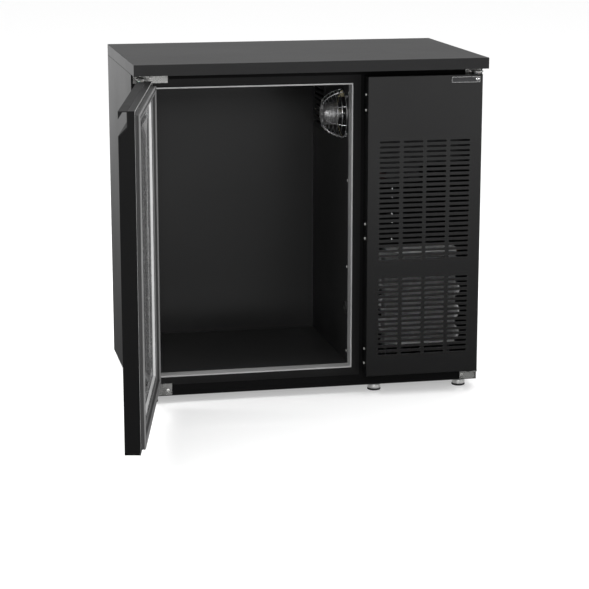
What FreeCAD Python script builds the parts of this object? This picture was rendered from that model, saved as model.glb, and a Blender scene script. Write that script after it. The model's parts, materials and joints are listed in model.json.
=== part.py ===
import FreeCAD, Part
import math
import os

# Under counter keg fridge: insulated chamber with a left-hinged door, and a
# machine compartment behind a slotted, right-hinged service panel.
#
# Layout coordinates, in mm: X from the left side, Y from the worktop's front
# edge into the cabinet, Z from the floor. save() moves every node so that the
# origin is the middle of the worktop's footprint, on the floor.
# The door is laid out closed, and save_door() swings it to its open rest pose.

V = FreeCAD.Vector

# ---- driving dimensions ----
WIDTH = 965.0
DEPTH = 600.0
HEIGHT = 935.0
TOP_THICK = 30.0
BODY_FRONT = 60.0       # front plane of the cabinet body
BASE = 22.0             # underside of the cabinet body
SHEET = 1.0             # outer sheet metal
LINER = 1.0             # inner liner

CHAMBER_X = (40.0, 600.0)
CHAMBER_Z = (77.0, 866.0)
CHAMBER_BACK = 548.0
PARTITION = 40.0        # thickness of the wall beside the machine compartment
MACHINE_TOP = 640.0     # underside of the evaporator box
JAMB_DEPTH = 35.0
JAMB_THICK = 1.5

LEAF_Z = (59.0, 889.4)  # height span of the door and the service panel
LEAF_FRONT = 8.0
DOOR_X = (13.0, 625.0)
DOOR_THICK = 39.0
DOOR_OPEN = 101.5       # degrees from closed in the rest pose
DOOR_AXIS = (21.0, 18.5)   # x and y of the door's hinge axis
GASKET_INSET = 10.0
GASKET_DEPTH = 11.9
GASKET_WIDTH = 17.0
RECESS_INSET = 42.0     # door edge to the dished inner panel
RECESS_DEPTH = 8.0

HANDLE_BACK = 23.0      # handle profile, front to back
HANDLE_WALL = 2.5
GRIP_DEPTH = 20.5
LIP_HEIGHT = 19.0
LIP_THICK = 9.6
GRIP_HEIGHT = 37.0      # top edge to the start of the sloped face
GRIP_FOOT = 3.5         # height of the profile's lowest edge
CORNER_BLOCK = 32.0     # solid hinge end of the profile

PANEL_X = (631.5, 951.0)
PANEL_BACK = 54.0
PANEL_SHEET = 1.2
SLOT_COLUMNS = ((664.5, 721.0), (731.0, 786.6), (795.7, 852.0), (862.0, 918.0))
SLOT_HEIGHT = 6.2
SLOT_PITCH = 13.95
UPPER_SLOTS = (24, 711.6)   # rows, centre height of the top row
LOWER_SLOTS = (16, 332.0)

PANEL_AXIS = (WIDTH - 22.0, 38.0)   # x and y of the service panel's hinge axis
PIN_R = 4.0
PIN_LENGTH = 26.5
UPPER_PIN_Z = 869.5
BUSH_R = 6.5
BUSH_Z = 868.5          # bottom of the upper bush
COLLAR = 1.5            # height of a bush's flange
COLLAR_LIP = 1.3        # flange beyond the sleeve
BRACKET_THICK = 3.0
UPPER_SHELF = (893.0, 896.0)
LOWER_SHELF = (52.0, 55.0)
UPPER_PLATE = (880.5, HEIGHT - TOP_THICK - 0.2)
LOWER_PLATE = (25.0, 57.0)
DOOR_BRACKET_X = (5.0, 97.0)
PANEL_BRACKET_X = (WIDTH - 49.0, WIDTH - 5.0)
DOOR_NOSE_R = 11.0
PANEL_NOSE_R = 17.0
DOOR_BRACKET_SCREWS = (52.0, 86.0)
PANEL_BRACKET_SCREWS = (WIDTH - 44.0,)
BRACKET_SCREW_Z = (899.0, 38.0)
LINER_SCREWS = ((102.0, 836.0), (110.0, 594.0), (111.0, 351.0), (112.0, 109.5))   # y and z

CATCH_Y = 32.0
CATCH_SCREWS = (839.0, 797.0, 485.0, 445.0, 134.0, 93.0)
RUN_CLEAR = 0.05        # radial clearance of running fits

FOOT_X = (43.0, 675.0, 922.0)
FOOT_Y = (90.0, 560.0)
FOOT_R = 19.0
STEM_R = 5.0
STEM_TOP = 44.0

FAN_Y = 180.0           # evaporator fan centre
FAN_Z = 771.0
FAN_HOLE_R = 64.0
GUARD_RINGS = (         # radius, and distance out from the wall
    (68.0, 2.0), (64.5, 14.0), (60.0, 26.0), (54.0, 37.0), (46.5, 46.0), (38.5, 52.5), (32.5, 55.0),
)
GUARD_WIRE = 1.3
GUARD_RIBS = 8
EYE_CIRCLE_R = 74.0
MOTOR_R = 30.9
RETURN_Y = (400.0, 520.0)
RETURN_Z = (700.0, 820.0)
PORT_Y = 124.0
PORT_Z = 233.0
PORT_R = 12.5

COND_X = (695.0, 912.0)  # condenser block
COND_Y = (78.0, 122.0)
COND_Z = (122.0, 402.0)
COND_ROWS = 9
COND_BANKS = (COND_Y[0] + 12.0, COND_Y[1] - 12.0)
COOL_FAN = (803.0, 262.0)   # x and z of the condenser fan
COOL_FAN_R = 104.0
FAN_ARMS = (45, 135, 225, 315)   # degrees round the condenser fan
COMP_X = 800.0
COMP_Y = 420.0
COMP_R = 76.0
COMP_STUBS = ((COMP_X + 96, COMP_Y, 100.0), (COMP_X - 96, COMP_Y, 100.0), (COMP_X, COMP_Y + 96, 100.0))
MOUNT_SPREAD = 74.0
PLATE_Z = 27.2          # top of the condensing unit's base plate
DRIER = (668.0, 150.0)  # x and y of the filter drier
SPOUT = (700.0, 380.0)  # x and y of the drain spout

CONTROL_X = (662.0, 740.0)
CONTROL_Z = (590.0, 624.0)
CONTROL_FRONT = 92.0
KEY_X = (715.0, 724.0, 733.0)
KEY_Z = 607.0
KEY_R = 3.0
ROCKER_X = (760.0, 774.0)
ROCKER_Z = (596.0, 618.0)
ROCKER_PIVOT = (CONTROL_FRONT + 8.0, 607.0)
ROCKER_TILT = 10.0
ROCKER_AXLE_R = 1.2
INLET_X = (884.2, 913.8)
INLET_Z = (70.2, 93.8)


# ---- shape helpers ----
def box(x, y, z):
    """A box from three (low, high) pairs."""
    return Part.makeBox(x[1] - x[0], y[1] - y[0], z[1] - z[0], V(x[0], y[0], z[0]))


def rod(start, radius, length, axis):
    """A cylinder from start along the axis."""
    return Part.makeCylinder(radius, length, V(*start), V(*axis))


def pipe_piece(start, outer, inner, length, axis):
    """A straight tube."""
    return rod(start, outer, length, axis).cut(rod(start, inner, length, axis))


def frame_y(outer_x, outer_z, inner_x, inner_z, y):
    """A rectangular ring that faces the front."""
    return box(outer_x, y, outer_z).cut(box(inner_x, (y[0] - 1, y[1] + 1), inner_z))


def inset(span, amount):
    return (span[0] + amount, span[1] - amount)


def prism_x(points, x):
    """A (y, z) outline stretched along X."""
    corners = [V(x[0], y, z) for y, z in points]
    face = Part.Face(Part.makePolygon(corners + corners[:1]))
    return face.extrude(V(x[1] - x[0], 0, 0))


def fuse(shapes):
    return shapes[0].multiFuse(shapes[1:]).removeSplitter()


def bent_tube(points, radius, bend):
    """A round tube along straight runs joined by tangent arcs."""
    path = [V(*p) for p in points]
    edges = []
    last = path[0]
    for before, here, after in zip(path, path[1:], path[2:]):
        toward = (before - here).normalize()
        onward = (after - here).normalize()
        half = (math.pi - toward.getAngle(onward)) / 2
        trim = bend * math.tan(half)
        first = here + toward * trim
        second = here + onward * trim
        middle = (toward + onward).normalize()
        crown = here + middle * (bend / math.cos(half) - bend)
        edges.append(Part.LineSegment(last, first).toShape())
        edges.append(Part.Arc(first, crown, second).toShape())
        last = second
    edges.append(Part.LineSegment(last, path[-1]).toShape())
    wire = Part.Wire(edges)
    direction = (path[1] - path[0]).normalize()
    section = Part.Wire(Part.makeCircle(radius, path[0], direction))
    return wire.makePipeShell([section], True, True)


def pan_screw(x, y, z, axis, head_r, head_h, shank_r, shank_l):
    """A screw whose head stands out along the axis from (x, y, z)."""
    back = tuple(-a for a in axis)
    return fuse([
        rod((x, y, z), head_r, head_h, axis),
        rod((x, y, z), shank_r, shank_l, back),
    ])


def save(name, shape):
    moved = shape.copy()
    moved.translate(V(-WIDTH / 2, -DEPTH / 2, 0))
    moved.exportStep(f"parts/{name}.step")


def save_door(name, shape):
    swung = shape.copy()
    swung.rotate(V(*DOOR_AXIS, 0), V(0, 0, 1), -DOOR_OPEN)
    save(name, swung)


# ---- cabinet shell ----
def worktop():
    slab = box((0, WIDTH), (0, DEPTH), (HEIGHT - TOP_THICK, HEIGHT))
    edges = [e for e in slab.Edges if e.BoundBox.ZMin > HEIGHT - 1]
    slab = slab.makeFillet(1.6, edges)
    hollow = box((2, WIDTH - 2), (2, BODY_FRONT - 4), (HEIGHT - TOP_THICK, HEIGHT - TOP_THICK + 6))
    return slab.cut(hollow)


def side_panel(x):
    return box(x, (BODY_FRONT + 2, DEPTH - 2), (BASE + 2, HEIGHT - TOP_THICK))


def back_panel():
    """L-shaped sheet behind the foam, clear of the machine compartment."""
    y = (DEPTH - 1.5, DEPTH)
    left = box((0, 644.0), y, (BASE + 2, HEIGHT - TOP_THICK))
    upper = box((644.0, WIDTH), y, (MACHINE_TOP, HEIGHT - TOP_THICK))
    return fuse([left, upper])


def back_grille():
    """Louvred cover behind the machine compartment."""
    plate = box((645.0, WIDTH), (DEPTH - 1.5, DEPTH), (BASE + 2, MACHINE_TOP - 1))
    slots = []
    for column in range(3):
        x = 672.0 + column * 92.0
        for row in range(16):
            z = 170.0 + row * 26.0
            slots.append(slot_cutter(x, x + 76.0, z, 7.0, (DEPTH - 3, DEPTH + 2)))
    plate = plate.cut(Part.makeCompound(slots))
    return plate.cut(box((884.0, 914.0), (DEPTH - 3, DEPTH + 2), (70.0, 94.0)))


def base_pan():
    pan = box((0, WIDTH), (BODY_FRONT + 2, DEPTH - 2), (BASE, BASE + 2))
    lip = box((0, WIDTH), (BODY_FRONT, BODY_FRONT + 2), (BASE, BASE + 1.5))
    pan = fuse([pan, lip])
    for x in FOOT_X:
        for y in FOOT_Y:
            pan = pan.cut(rod((x, y, BASE - 1), STEM_R + 1, 4, (0, 0, 1)))
    return pan


def front_frame():
    """Steel face of the body round the door opening, and the rail under the panel."""
    y = (BODY_FRONT, BODY_FRONT + 2)
    face = box((0, 641.0), y, (BASE + 1.5, HEIGHT - TOP_THICK))
    rail = box((641.0, WIDTH), y, (BASE + 1.5, LEAF_Z[0] - 1))
    header = box((641.0, WIDTH), y, (LEAF_Z[1] - 4, HEIGHT - TOP_THICK))
    hole = box(CHAMBER_X, (BODY_FRONT - 1, BODY_FRONT + 3), CHAMBER_Z)
    return fuse([face, rail, header]).cut(hole)


def jamb_trim():
    """Metal strip that lines the mouth of the chamber, with a narrow front lip."""
    sleeve = frame_y(CHAMBER_X, CHAMBER_Z, inset(CHAMBER_X, JAMB_THICK), inset(CHAMBER_Z, JAMB_THICK),
                     (BODY_FRONT - 1, BODY_FRONT + JAMB_DEPTH))
    lip = frame_y(inset(CHAMBER_X, -2.0), inset(CHAMBER_Z, -2.0), CHAMBER_X, CHAMBER_Z,
                  (BODY_FRONT - 1, BODY_FRONT))
    return fuse([sleeve, lip])


def inner_liner():
    outer = box(inset(CHAMBER_X, -LINER), (BODY_FRONT + 2, CHAMBER_BACK + LINER), inset(CHAMBER_Z, -LINER))
    inner = box(CHAMBER_X, (BODY_FRONT + 1, CHAMBER_BACK), CHAMBER_Z)
    side = (CHAMBER_X[1] - 1, CHAMBER_X[1] + 2)
    holes = [
        rod((side[0], FAN_Y, FAN_Z), FAN_HOLE_R, 4, (1, 0, 0)),
        box(side, RETURN_Y, RETURN_Z),
        rod((side[0], PORT_Y, PORT_Z), PORT_R, 4, (1, 0, 0)),
    ]
    return outer.cut(inner).cut(Part.makeCompound(holes))


# ---- foam ----
def foot_pockets(shape):
    """Clearance for the threaded inserts of the left pair of feet."""
    for y in FOOT_Y:
        shape = shape.cut(rod((FOOT_X[0], y, BASE), 11.0, 24.2, (0, 0, 1)))
    return shape


def cabinet_foam():
    """Four slabs: left, floor, top and back."""
    left_x = (SHEET, CHAMBER_X[0] - LINER)
    front = BODY_FRONT + 2
    right = CHAMBER_X[1] + LINER + PARTITION
    inner_y = (front, CHAMBER_BACK + LINER)
    left = box(left_x, inner_y, inset(CHAMBER_Z, -LINER))
    floor = box((SHEET, right), (front, DEPTH - 2), (BASE + 2, CHAMBER_Z[0] - LINER))
    floor = foot_pockets(floor)
    top = box((SHEET, WIDTH - SHEET), (front, DEPTH - 2), (CHAMBER_Z[1] + LINER, HEIGHT - TOP_THICK))
    back = box((SHEET, right), (CHAMBER_BACK + LINER, DEPTH - 2), inset(CHAMBER_Z, -LINER))
    return Part.makeCompound([left, floor, top, back])


def partition_foam():
    x = (CHAMBER_X[1] + LINER, CHAMBER_X[1] + LINER + PARTITION)
    wall = box(x, (BODY_FRONT + 2, CHAMBER_BACK + LINER), inset(CHAMBER_Z, -LINER))
    holes = [
        rod((x[0] - 1, FAN_Y, FAN_Z), FAN_HOLE_R, PARTITION + 2, (1, 0, 0)),
        box((x[0] - 1, x[1] + 1), RETURN_Y, RETURN_Z),
        rod((x[0] - 1, PORT_Y, PORT_Z), PORT_R, PARTITION + 2, (1, 0, 0)),
    ]
    return wall.cut(Part.makeCompound(holes))


def evaporator_box():
    """Insulated tub above the machine compartment, open to the partition."""
    x = (CHAMBER_X[1] + LINER + PARTITION, WIDTH - SHEET)
    z = (MACHINE_TOP, CHAMBER_Z[1] + LINER)
    tub = box(x, (BODY_FRONT + 2, DEPTH - 2), z)
    room = box((x[0] - 1, x[1] - 32), (BODY_FRONT + 30, CHAMBER_BACK), (z[0] + 25, z[1] + 1))
    return tub.cut(room).cut(rod((*SPOUT, z[0] - 1), 9.0, 30, (0, 0, 1)))


# ---- chamber fittings ----
def port_grommet():
    """Rubber bush for a beer line, through the partition."""
    start = CHAMBER_X[1] - 4.0
    flange = rod((start, PORT_Y, PORT_Z), PORT_R + 5, 4.0, (1, 0, 0))
    tail = rod((start, PORT_Y, PORT_Z), PORT_R - 0.1, PARTITION + 8, (1, 0, 0))
    bore = rod((start - 1, PORT_Y, PORT_Z), 8.0, PARTITION + 12, (1, 0, 0))
    return fuse([flange, tail]).cut(bore)


def return_grille():
    """Slatted cover over the return air opening."""
    x = (CHAMBER_X[1] - 3.0, CHAMBER_X[1])
    cover = box(x, inset(RETURN_Y, -10), inset(RETURN_Z, -10))
    slots = [box((x[0] - 1, x[1] + 1), inset(RETURN_Y, 4), (z, z + 8.0))
             for z in range(int(RETURN_Z[0]) + 6, int(RETURN_Z[1]) - 8, 16)]
    return cover.cut(Part.makeCompound(slots))


def fan_guard():
    """Domed wire basket: rings joined by eight bent ribs and four screw eyes."""
    wall = CHAMBER_X[1]
    parts = []
    for radius, out in GUARD_RINGS:
        parts.append(Part.makeTorus(radius, GUARD_WIRE, V(wall - out, FAN_Y, FAN_Z), V(1, 0, 0)))
    for rib in range(GUARD_RIBS):
        angle = math.radians(360 / GUARD_RIBS * (rib + 0.5))
        side, up = math.cos(angle), math.sin(angle)
        points = [V(wall - out - GUARD_WIRE, FAN_Y + side * r, FAN_Z + up * r) for r, out in GUARD_RINGS]
        curve = Part.BSplineCurve()
        curve.interpolate(points)
        path = Part.Wire(curve.toShape())
        start = curve.tangent(curve.FirstParameter)[0]
        section = Part.Wire(Part.makeCircle(GUARD_WIRE, points[0], start))
        parts.append(path.makePipeShell([section], True, True))
    for eye in range(4):
        angle = math.radians(90 * eye + 45)
        centre = (wall - 3.2, FAN_Y + EYE_CIRCLE_R * math.cos(angle), FAN_Z + EYE_CIRCLE_R * math.sin(angle))
        parts.append(pipe_piece(centre, 6.0, 2.2, 2.4, (1, 0, 0)))
    return parts[0].multiFuse(parts[1:])


def evaporator_motor():
    """Small can motor held by the guard's inner ring."""
    wall = CHAMBER_X[1]
    can = rod((wall - 58.0, FAN_Y, FAN_Z), MOTOR_R, 44.0, (1, 0, 0))
    can = can.makeFillet(4.0, [e for e in can.Edges if e.BoundBox.XLength < 1e-6])
    neck = rod((wall - 14.0, FAN_Y, FAN_Z), 12.0, 12.0, (1, 0, 0))
    shaft = rod((wall - 2.0, FAN_Y, FAN_Z), 3.0, 26.0, (1, 0, 0))
    return fuse([can, neck, shaft])


def fan_blade(hub_r, tip_r, thick, count, pitch, chord, bore):
    """Axial fan about +X through the origin, as one moulding."""
    parts = [rod((0, 0, 0), hub_r, thick, (1, 0, 0))]
    for index in range(count):
        blade = box((-0.8, 0.8), (-chord / 2, chord / 2), (hub_r - 2, tip_r))
        blade.rotate(V(0, 0, 0), V(0, 0, 1), pitch)
        blade.translate(V(thick / 2, 0, 0))
        blade.rotate(V(0, 0, 0), V(1, 0, 0), 360.0 * index / count)
        parts.append(blade)
    wheel = parts[0].multiFuse(parts[1:])
    rim = rod((-thick, 0, 0), tip_r, 3 * thick, (1, 0, 0))
    return wheel.common(rim).cut(rod((-thick, 0, 0), bore, 3 * thick, (1, 0, 0)))


def evaporator_coil():
    """Finned block between end plates, with its tubes run through."""
    x, y, z = (674.0, 902.0), (250.0, 330.0), (690.0, 845.0)
    parts = [box(inset(x, 8.0), y, z)]
    for start in (x[0], x[1] - 1.5):
        parts.append(box((start, start + 1.5), y, z))
    for row in range(4):
        for bank in range(2):
            start = (x[0], y[0] + 22 + bank * 36, z[0] + 22 + row * 36)
            parts.append(rod(start, 4.8, x[1] - x[0], (1, 0, 0)))
    return parts[0].multiFuse(parts[1:])


def drip_tray():
    x, y, z = (662.0, 912.0), (238.0, 404.0), (666.0, 684.0)
    tray = box(x, y, z).cut(box(inset(x, 1.5), inset(y, 1.5), (z[0] + 1.5, z[1] + 1)))
    spout = rod((*SPOUT, z[0] - 30), 7.0, 31, (0, 0, 1))
    bore = rod((*SPOUT, z[0] - 31), 5.0, 40, (0, 0, 1))
    return fuse([tray, spout]).cut(bore)


def drain_hose():
    """Clipped hose from the drip tray's spout to the condensate tray."""
    points = [(*SPOUT, 634.0), (*SPOUT, 540.0), (672.0, 440.0, 470.0),
              (660.0, 500.0, 330.0), (660.0, 510.0, 150.0), (672.0, 520.0, 66.0)]
    return bent_tube(points, 6.5, 30.0)


# ---- hinges ----
def hinge_bracket(span, axis, nose_r, screws, upper):
    """Screwed plate whose tongue carries a riveted pin on the leaf's axis."""
    x, y = axis
    back = (BODY_FRONT - BRACKET_THICK, BODY_FRONT)
    shelf = UPPER_SHELF if upper else LOWER_SHELF
    plate = box(span, back, UPPER_PLATE if upper else LOWER_PLATE)
    tongue = box((x - nose_r, x + nose_r), (y, back[0]), shelf)
    nose = rod((x, y, shelf[0]), nose_r, BRACKET_THICK, (0, 0, 1))
    pin = rod((x, y, UPPER_PIN_Z if upper else LOWER_SHELF[0]), PIN_R, PIN_LENGTH, (0, 0, 1))
    holes = [rod((hole_x, back[0] - 1, z), 2.5, 5, (0, 1, 0)) for hole_x in screws for z in BRACKET_SCREW_Z]
    return fuse([plate, tongue, nose, pin]).cut(Part.makeCompound(holes))


def cabinet_screws():
    """Screws of the hinge brackets and of the liner's side walls."""
    screws = []
    for x in DOOR_BRACKET_SCREWS + PANEL_BRACKET_SCREWS:
        for z in BRACKET_SCREW_Z:
            screws.append(pan_screw(x, BODY_FRONT - BRACKET_THICK, z, (0, -1, 0), 4.5, 2.2, 2.5, 2.9))
    for y, z in LINER_SCREWS:
        screws.append(pan_screw(CHAMBER_X[1], y, z, (-1, 0, 0), 4.0, 1.4, 1.8, 0.9))
        screws.append(pan_screw(CHAMBER_X[0], y, z, (1, 0, 0), 4.0, 1.4, 1.8, 0.9))
    return Part.makeCompound(screws)


def pivot_bushes(axis):
    """Flanged bushes at the top and bottom of a leaf, on its hinge axis."""
    bushes = []
    for low, flange in ((BUSH_Z, LEAF_Z[1]), (LEAF_Z[0], LEAF_Z[0] - COLLAR)):
        sleeve = rod((*axis, low), BUSH_R, LEAF_Z[1] - BUSH_Z, (0, 0, 1))
        collar = rod((*axis, flange), BUSH_R + COLLAR_LIP, COLLAR, (0, 0, 1))
        bore = rod((*axis, 0.0), PIN_R + RUN_CLEAR, HEIGHT, (0, 0, 1))
        bushes.append(fuse([sleeve, collar]).cut(bore))
    return Part.makeCompound(bushes)


# ---- door ----
def grip_outline():
    """Section of the handle profile, as (y, z), from its front top corner."""
    front, top = LEAF_FRONT, LEAF_Z[1]
    slope_end = GRIP_HEIGHT + GRIP_DEPTH
    return [
        (front, top),
        (front, top - LIP_HEIGHT),
        (front + LIP_THICK, top - HANDLE_WALL),
        (front + GRIP_DEPTH, top - HANDLE_WALL),
        (front + GRIP_DEPTH, top - GRIP_HEIGHT),
        (front, top - slope_end),
        (front, top - slope_end - GRIP_FOOT),
        (front + HANDLE_BACK, top - GRIP_HEIGHT - 1.0),
        (front + HANDLE_BACK, top),
    ]


def door_body_outline():
    """Section of the door behind and below the handle profile."""
    front, top = LEAF_FRONT, LEAF_Z[1]
    low_edge = top - GRIP_HEIGHT - GRIP_DEPTH - GRIP_FOOT
    return [
        (front, LEAF_Z[0]),
        (front, low_edge),
        (front + HANDLE_BACK, top - GRIP_HEIGHT - 1.0),
        (front + HANDLE_BACK, top),
        (front + DOOR_THICK, top),
        (front + DOOR_THICK, LEAF_Z[0]),
    ]


def core_outline():
    """The same section inside the sheet, up to the inner panel."""
    front, top = LEAF_FRONT, LEAF_Z[1]
    low_edge = top - GRIP_HEIGHT - GRIP_DEPTH - GRIP_FOOT
    back = front + DOOR_THICK - RECESS_DEPTH - 2
    return [
        (front + SHEET, LEAF_Z[0] + SHEET),
        (front + SHEET, low_edge - 0.6),
        (front + HANDLE_BACK, top - GRIP_HEIGHT - 1.6),
        (front + HANDLE_BACK, top - SHEET),
        (back, top - SHEET),
        (back, LEAF_Z[0] + SHEET),
    ]


def bush_holes(shape):
    """Bores for the door's two pivot bushes."""
    for low in (BUSH_Z, LEAF_Z[0] - 1):
        shape = shape.cut(rod((*DOOR_AXIS, low), BUSH_R, LEAF_Z[1] - BUSH_Z + 1, (0, 0, 1)))
    return shape


def inner_panel_block():
    back = LEAF_FRONT + DOOR_THICK
    return box(inset(DOOR_X, SHEET), (back - RECESS_DEPTH - 2, back), inset(LEAF_Z, SHEET))


def door_shell():
    """Folded skin: front, two sides, bottom and top, open towards the chamber."""
    solid = prism_x(door_body_outline(), DOOR_X)
    core = prism_x(core_outline(), inset(DOOR_X, SHEET))
    return bush_holes(solid.cut(core).cut(inner_panel_block()))


def door_foam():
    return bush_holes(prism_x(core_outline(), inset(DOOR_X, SHEET)))


def door_handle():
    """Full-width grip profile, filled at the hinge end to carry the bush."""
    front, top = LEAF_FRONT, LEAF_Z[1]
    block = prism_x([
        (front, top),
        (front, top - GRIP_HEIGHT - GRIP_DEPTH - GRIP_FOOT),
        (front + HANDLE_BACK, top - GRIP_HEIGHT - 1.0),
        (front + HANDLE_BACK, top),
    ], (DOOR_X[0], DOOR_X[0] + CORNER_BLOCK))
    return bush_holes(fuse([prism_x(grip_outline(), DOOR_X), block]))


def door_inner_panel():
    """Moulded panel with a dished middle and sloped walls."""
    back = LEAF_FRONT + DOOR_THICK
    x, z = inset(DOOR_X, RECESS_INSET), inset(LEAF_Z, RECESS_INSET)
    mouth = Part.makePolygon([V(a, back + 0.01, b) for a, b in
                              ((x[0], z[0]), (x[1], z[0]), (x[1], z[1]), (x[0], z[1]), (x[0], z[0]))])
    low_x, low_z = inset(x, RECESS_DEPTH), inset(z, RECESS_DEPTH)
    floor = Part.makePolygon([V(a, back - RECESS_DEPTH, b) for a, b in
                              ((low_x[0], low_z[0]), (low_x[1], low_z[0]), (low_x[1], low_z[1]),
                               (low_x[0], low_z[1]), (low_x[0], low_z[0]))])
    dish = Part.makeLoft([mouth, floor], True, True)
    return inner_panel_block().cut(dish)


def door_gasket():
    """Bellows seal: a base strip with two ridges, all the way round."""
    back = LEAF_FRONT + DOOR_THICK
    x, z = inset(DOOR_X, GASKET_INSET), inset(LEAF_Z, GASKET_INSET)
    rings = [frame_y(x, z, inset(x, GASKET_WIDTH), inset(z, GASKET_WIDTH), (back, back + 3.5))]
    for start, width in ((1.0, 5.5), (9.5, 6.5)):
        rings.append(frame_y(inset(x, start), inset(z, start), inset(x, start + width),
                             inset(z, start + width), (back + 3, back + GASKET_DEPTH)))
    return fuse(rings)


# ---- service panel ----
def slot_cutter(x0, x1, z, height, y):
    """A round-ended slot through a front-facing sheet."""
    radius = height / 2
    bar = box((x0 + radius, x1 - radius), y, (z - radius, z + radius))
    ends = [rod((x, y[0], z), radius, y[1] - y[0], (0, 1, 0)) for x in (x0 + radius, x1 - radius)]
    return fuse([bar] + ends)


def service_panel():
    """Folded sheet tray with two slotted fields."""
    tray = box(PANEL_X, (LEAF_FRONT, PANEL_BACK), LEAF_Z)
    corner = [e for e in tray.Edges if e.BoundBox.YMax < LEAF_FRONT + 0.1]
    tray = tray.makeFillet(1.5, corner)
    inside_y = (LEAF_FRONT + PANEL_SHEET, PANEL_BACK + 1)
    room = box(inset(PANEL_X, PANEL_SHEET), inside_y, inset(LEAF_Z, PANEL_SHEET))
    cutters = []
    for rows, top in (UPPER_SLOTS, LOWER_SLOTS):
        for row in range(rows):
            for x0, x1 in SLOT_COLUMNS:
                z = top - row * SLOT_PITCH
                cutters.append(slot_cutter(x0, x1, z, SLOT_HEIGHT, (LEAF_FRONT - 2, LEAF_FRONT + 4)))
    for z in LEAF_Z:
        cutters.append(rod((*PANEL_AXIS, z - 3), BUSH_R, 6, (0, 0, 1)))
    for z in CATCH_SCREWS:
        cutters.append(rod((PANEL_X[0] - 1, CATCH_Y, z), 1.8, 3, (1, 0, 0)))
    return tray.cut(room).cut(Part.makeCompound(cutters))


def panel_catches():
    """Three magnetic catch plates inside the panel's free edge."""
    plates = []
    x = (PANEL_X[0] + PANEL_SHEET, PANEL_X[0] + PANEL_SHEET + 3)
    for low, high in zip(CATCH_SCREWS[1::2], CATCH_SCREWS[0::2]):
        plate = box(x, (18.0, PANEL_BACK), (low - 12, high + 12))
        for z in (low, high):
            plate = plate.cut(rod((x[0] - 1, CATCH_Y, z), 1.8, 5, (1, 0, 0)))
        plates.append(plate)
    return Part.makeCompound(plates)


def catch_screws():
    return Part.makeCompound([pan_screw(PANEL_X[0], CATCH_Y, z, (-1, 0, 0), 3.4, 1.6, 1.8, 3.8)
                              for z in CATCH_SCREWS])


def badge_plate():
    plate = box((863.0, 943.0), (LEAF_FRONT - 1.4, LEAF_FRONT), (868.5, 884.5))
    return plate.makeFillet(0.6, [e for e in plate.Edges if e.BoundBox.YMax < LEAF_FRONT - 1.3])


# ---- feet ----
def foot(x, y):
    """Levelling foot: a threaded stem, a metal cup and a rubber sole."""
    cup = rod((x, y, 0), FOOT_R, BASE - 1.0, (0, 0, 1))
    cup = cup.makeFillet(2.5, [e for e in cup.Edges if e.BoundBox.ZMax < 0.1])
    stem = rod((x, y, BASE - 1.5), STEM_R, STEM_TOP - BASE + 1.5, (0, 0, 1))
    return fuse([cup, stem])


def foot_inserts():
    inserts = []
    for x in FOOT_X:
        for y in FOOT_Y:
            inserts.append(pipe_piece((x, y, BASE + 2), 11.0, STEM_R + RUN_CLEAR, 22.0, (0, 0, 1)))
    return Part.makeCompound(inserts)


# ---- machine compartment ----
def unit_base():
    """Base plate of the condensing unit, with lips and the condenser's legs."""
    x, y = (697.0, 898.0), (68.0, 572.0)
    plate = box(x, y, (BASE + 2.2, PLATE_Z))
    lips = [box(x, (y[0], y[0] + 2), (BASE + 2.2, 44.0)), box(x, (y[1] - 2, y[1]), (BASE + 2.2, 44.0))]
    leg_y = (COND_Y[0] + 2, COND_Y[1])
    legs = [box((leg, leg + 3), leg_y, (PLATE_Z - 1, COND_Z[0])) for leg in (704.0, 888.0)]
    return fuse([plate] + lips + legs)


def mount_places():
    return [(COMP_X + dx, COMP_Y + dy) for dx in (-MOUNT_SPREAD, MOUNT_SPREAD) for dy in (-46.0, 46.0)]


def compressor():
    """Welded steel pot on a foot plate, with three stubs and a terminal cover."""
    body = rod((COMP_X, COMP_Y, 56.0), COMP_R, 140.0, (0, 0, 1))
    rims = [e for e in body.Edges if e.BoundBox.ZMin > 190 or e.BoundBox.ZMax < 57]
    body = body.makeFillet(34.0, rims)
    seam = rod((COMP_X, COMP_Y, 118.0), COMP_R + 3, 4.0, (0, 0, 1))
    plate = box((COMP_X - 92, COMP_X + 92), (COMP_Y - 62, COMP_Y + 62), (46.0, 50.0))
    pedestal = rod((COMP_X, COMP_Y, 46.0), 44.0, 20.0, (0, 0, 1))
    cover = box((COMP_X - 32, COMP_X + 32), (COMP_Y - COMP_R - 20, COMP_Y - COMP_R + 22), (84.0, 150.0))
    parts = [body, seam, plate, pedestal, cover]
    for x, y, z in COMP_STUBS:
        start = (COMP_X + (x - COMP_X) * 0.6, COMP_Y + (y - COMP_Y) * 0.6, z)
        length = 0.4 * math.hypot(x - COMP_X, y - COMP_Y)
        parts.append(rod(start, 4.4, length, (x - COMP_X, y - COMP_Y, 0)))
    body = fuse(parts)
    for x, y in mount_places():
        body = body.cut(rod((x, y, 40.0), 6.0, 20.0, (0, 0, 1)))
    return body


def compressor_mounts():
    """Rubber grommets between the foot plate and the base plate."""
    mounts = []
    for x, y in mount_places():
        mounts.append(fuse([rod((x, y, PLATE_Z), 12.0, 46.0 - PLATE_Z, (0, 0, 1)),
                            rod((x, y, 46.0), 5.9, 4.0, (0, 0, 1)),
                            rod((x, y, 50.0), 9.0, 4.0, (0, 0, 1))]))
    return Part.makeCompound(mounts)


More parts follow.
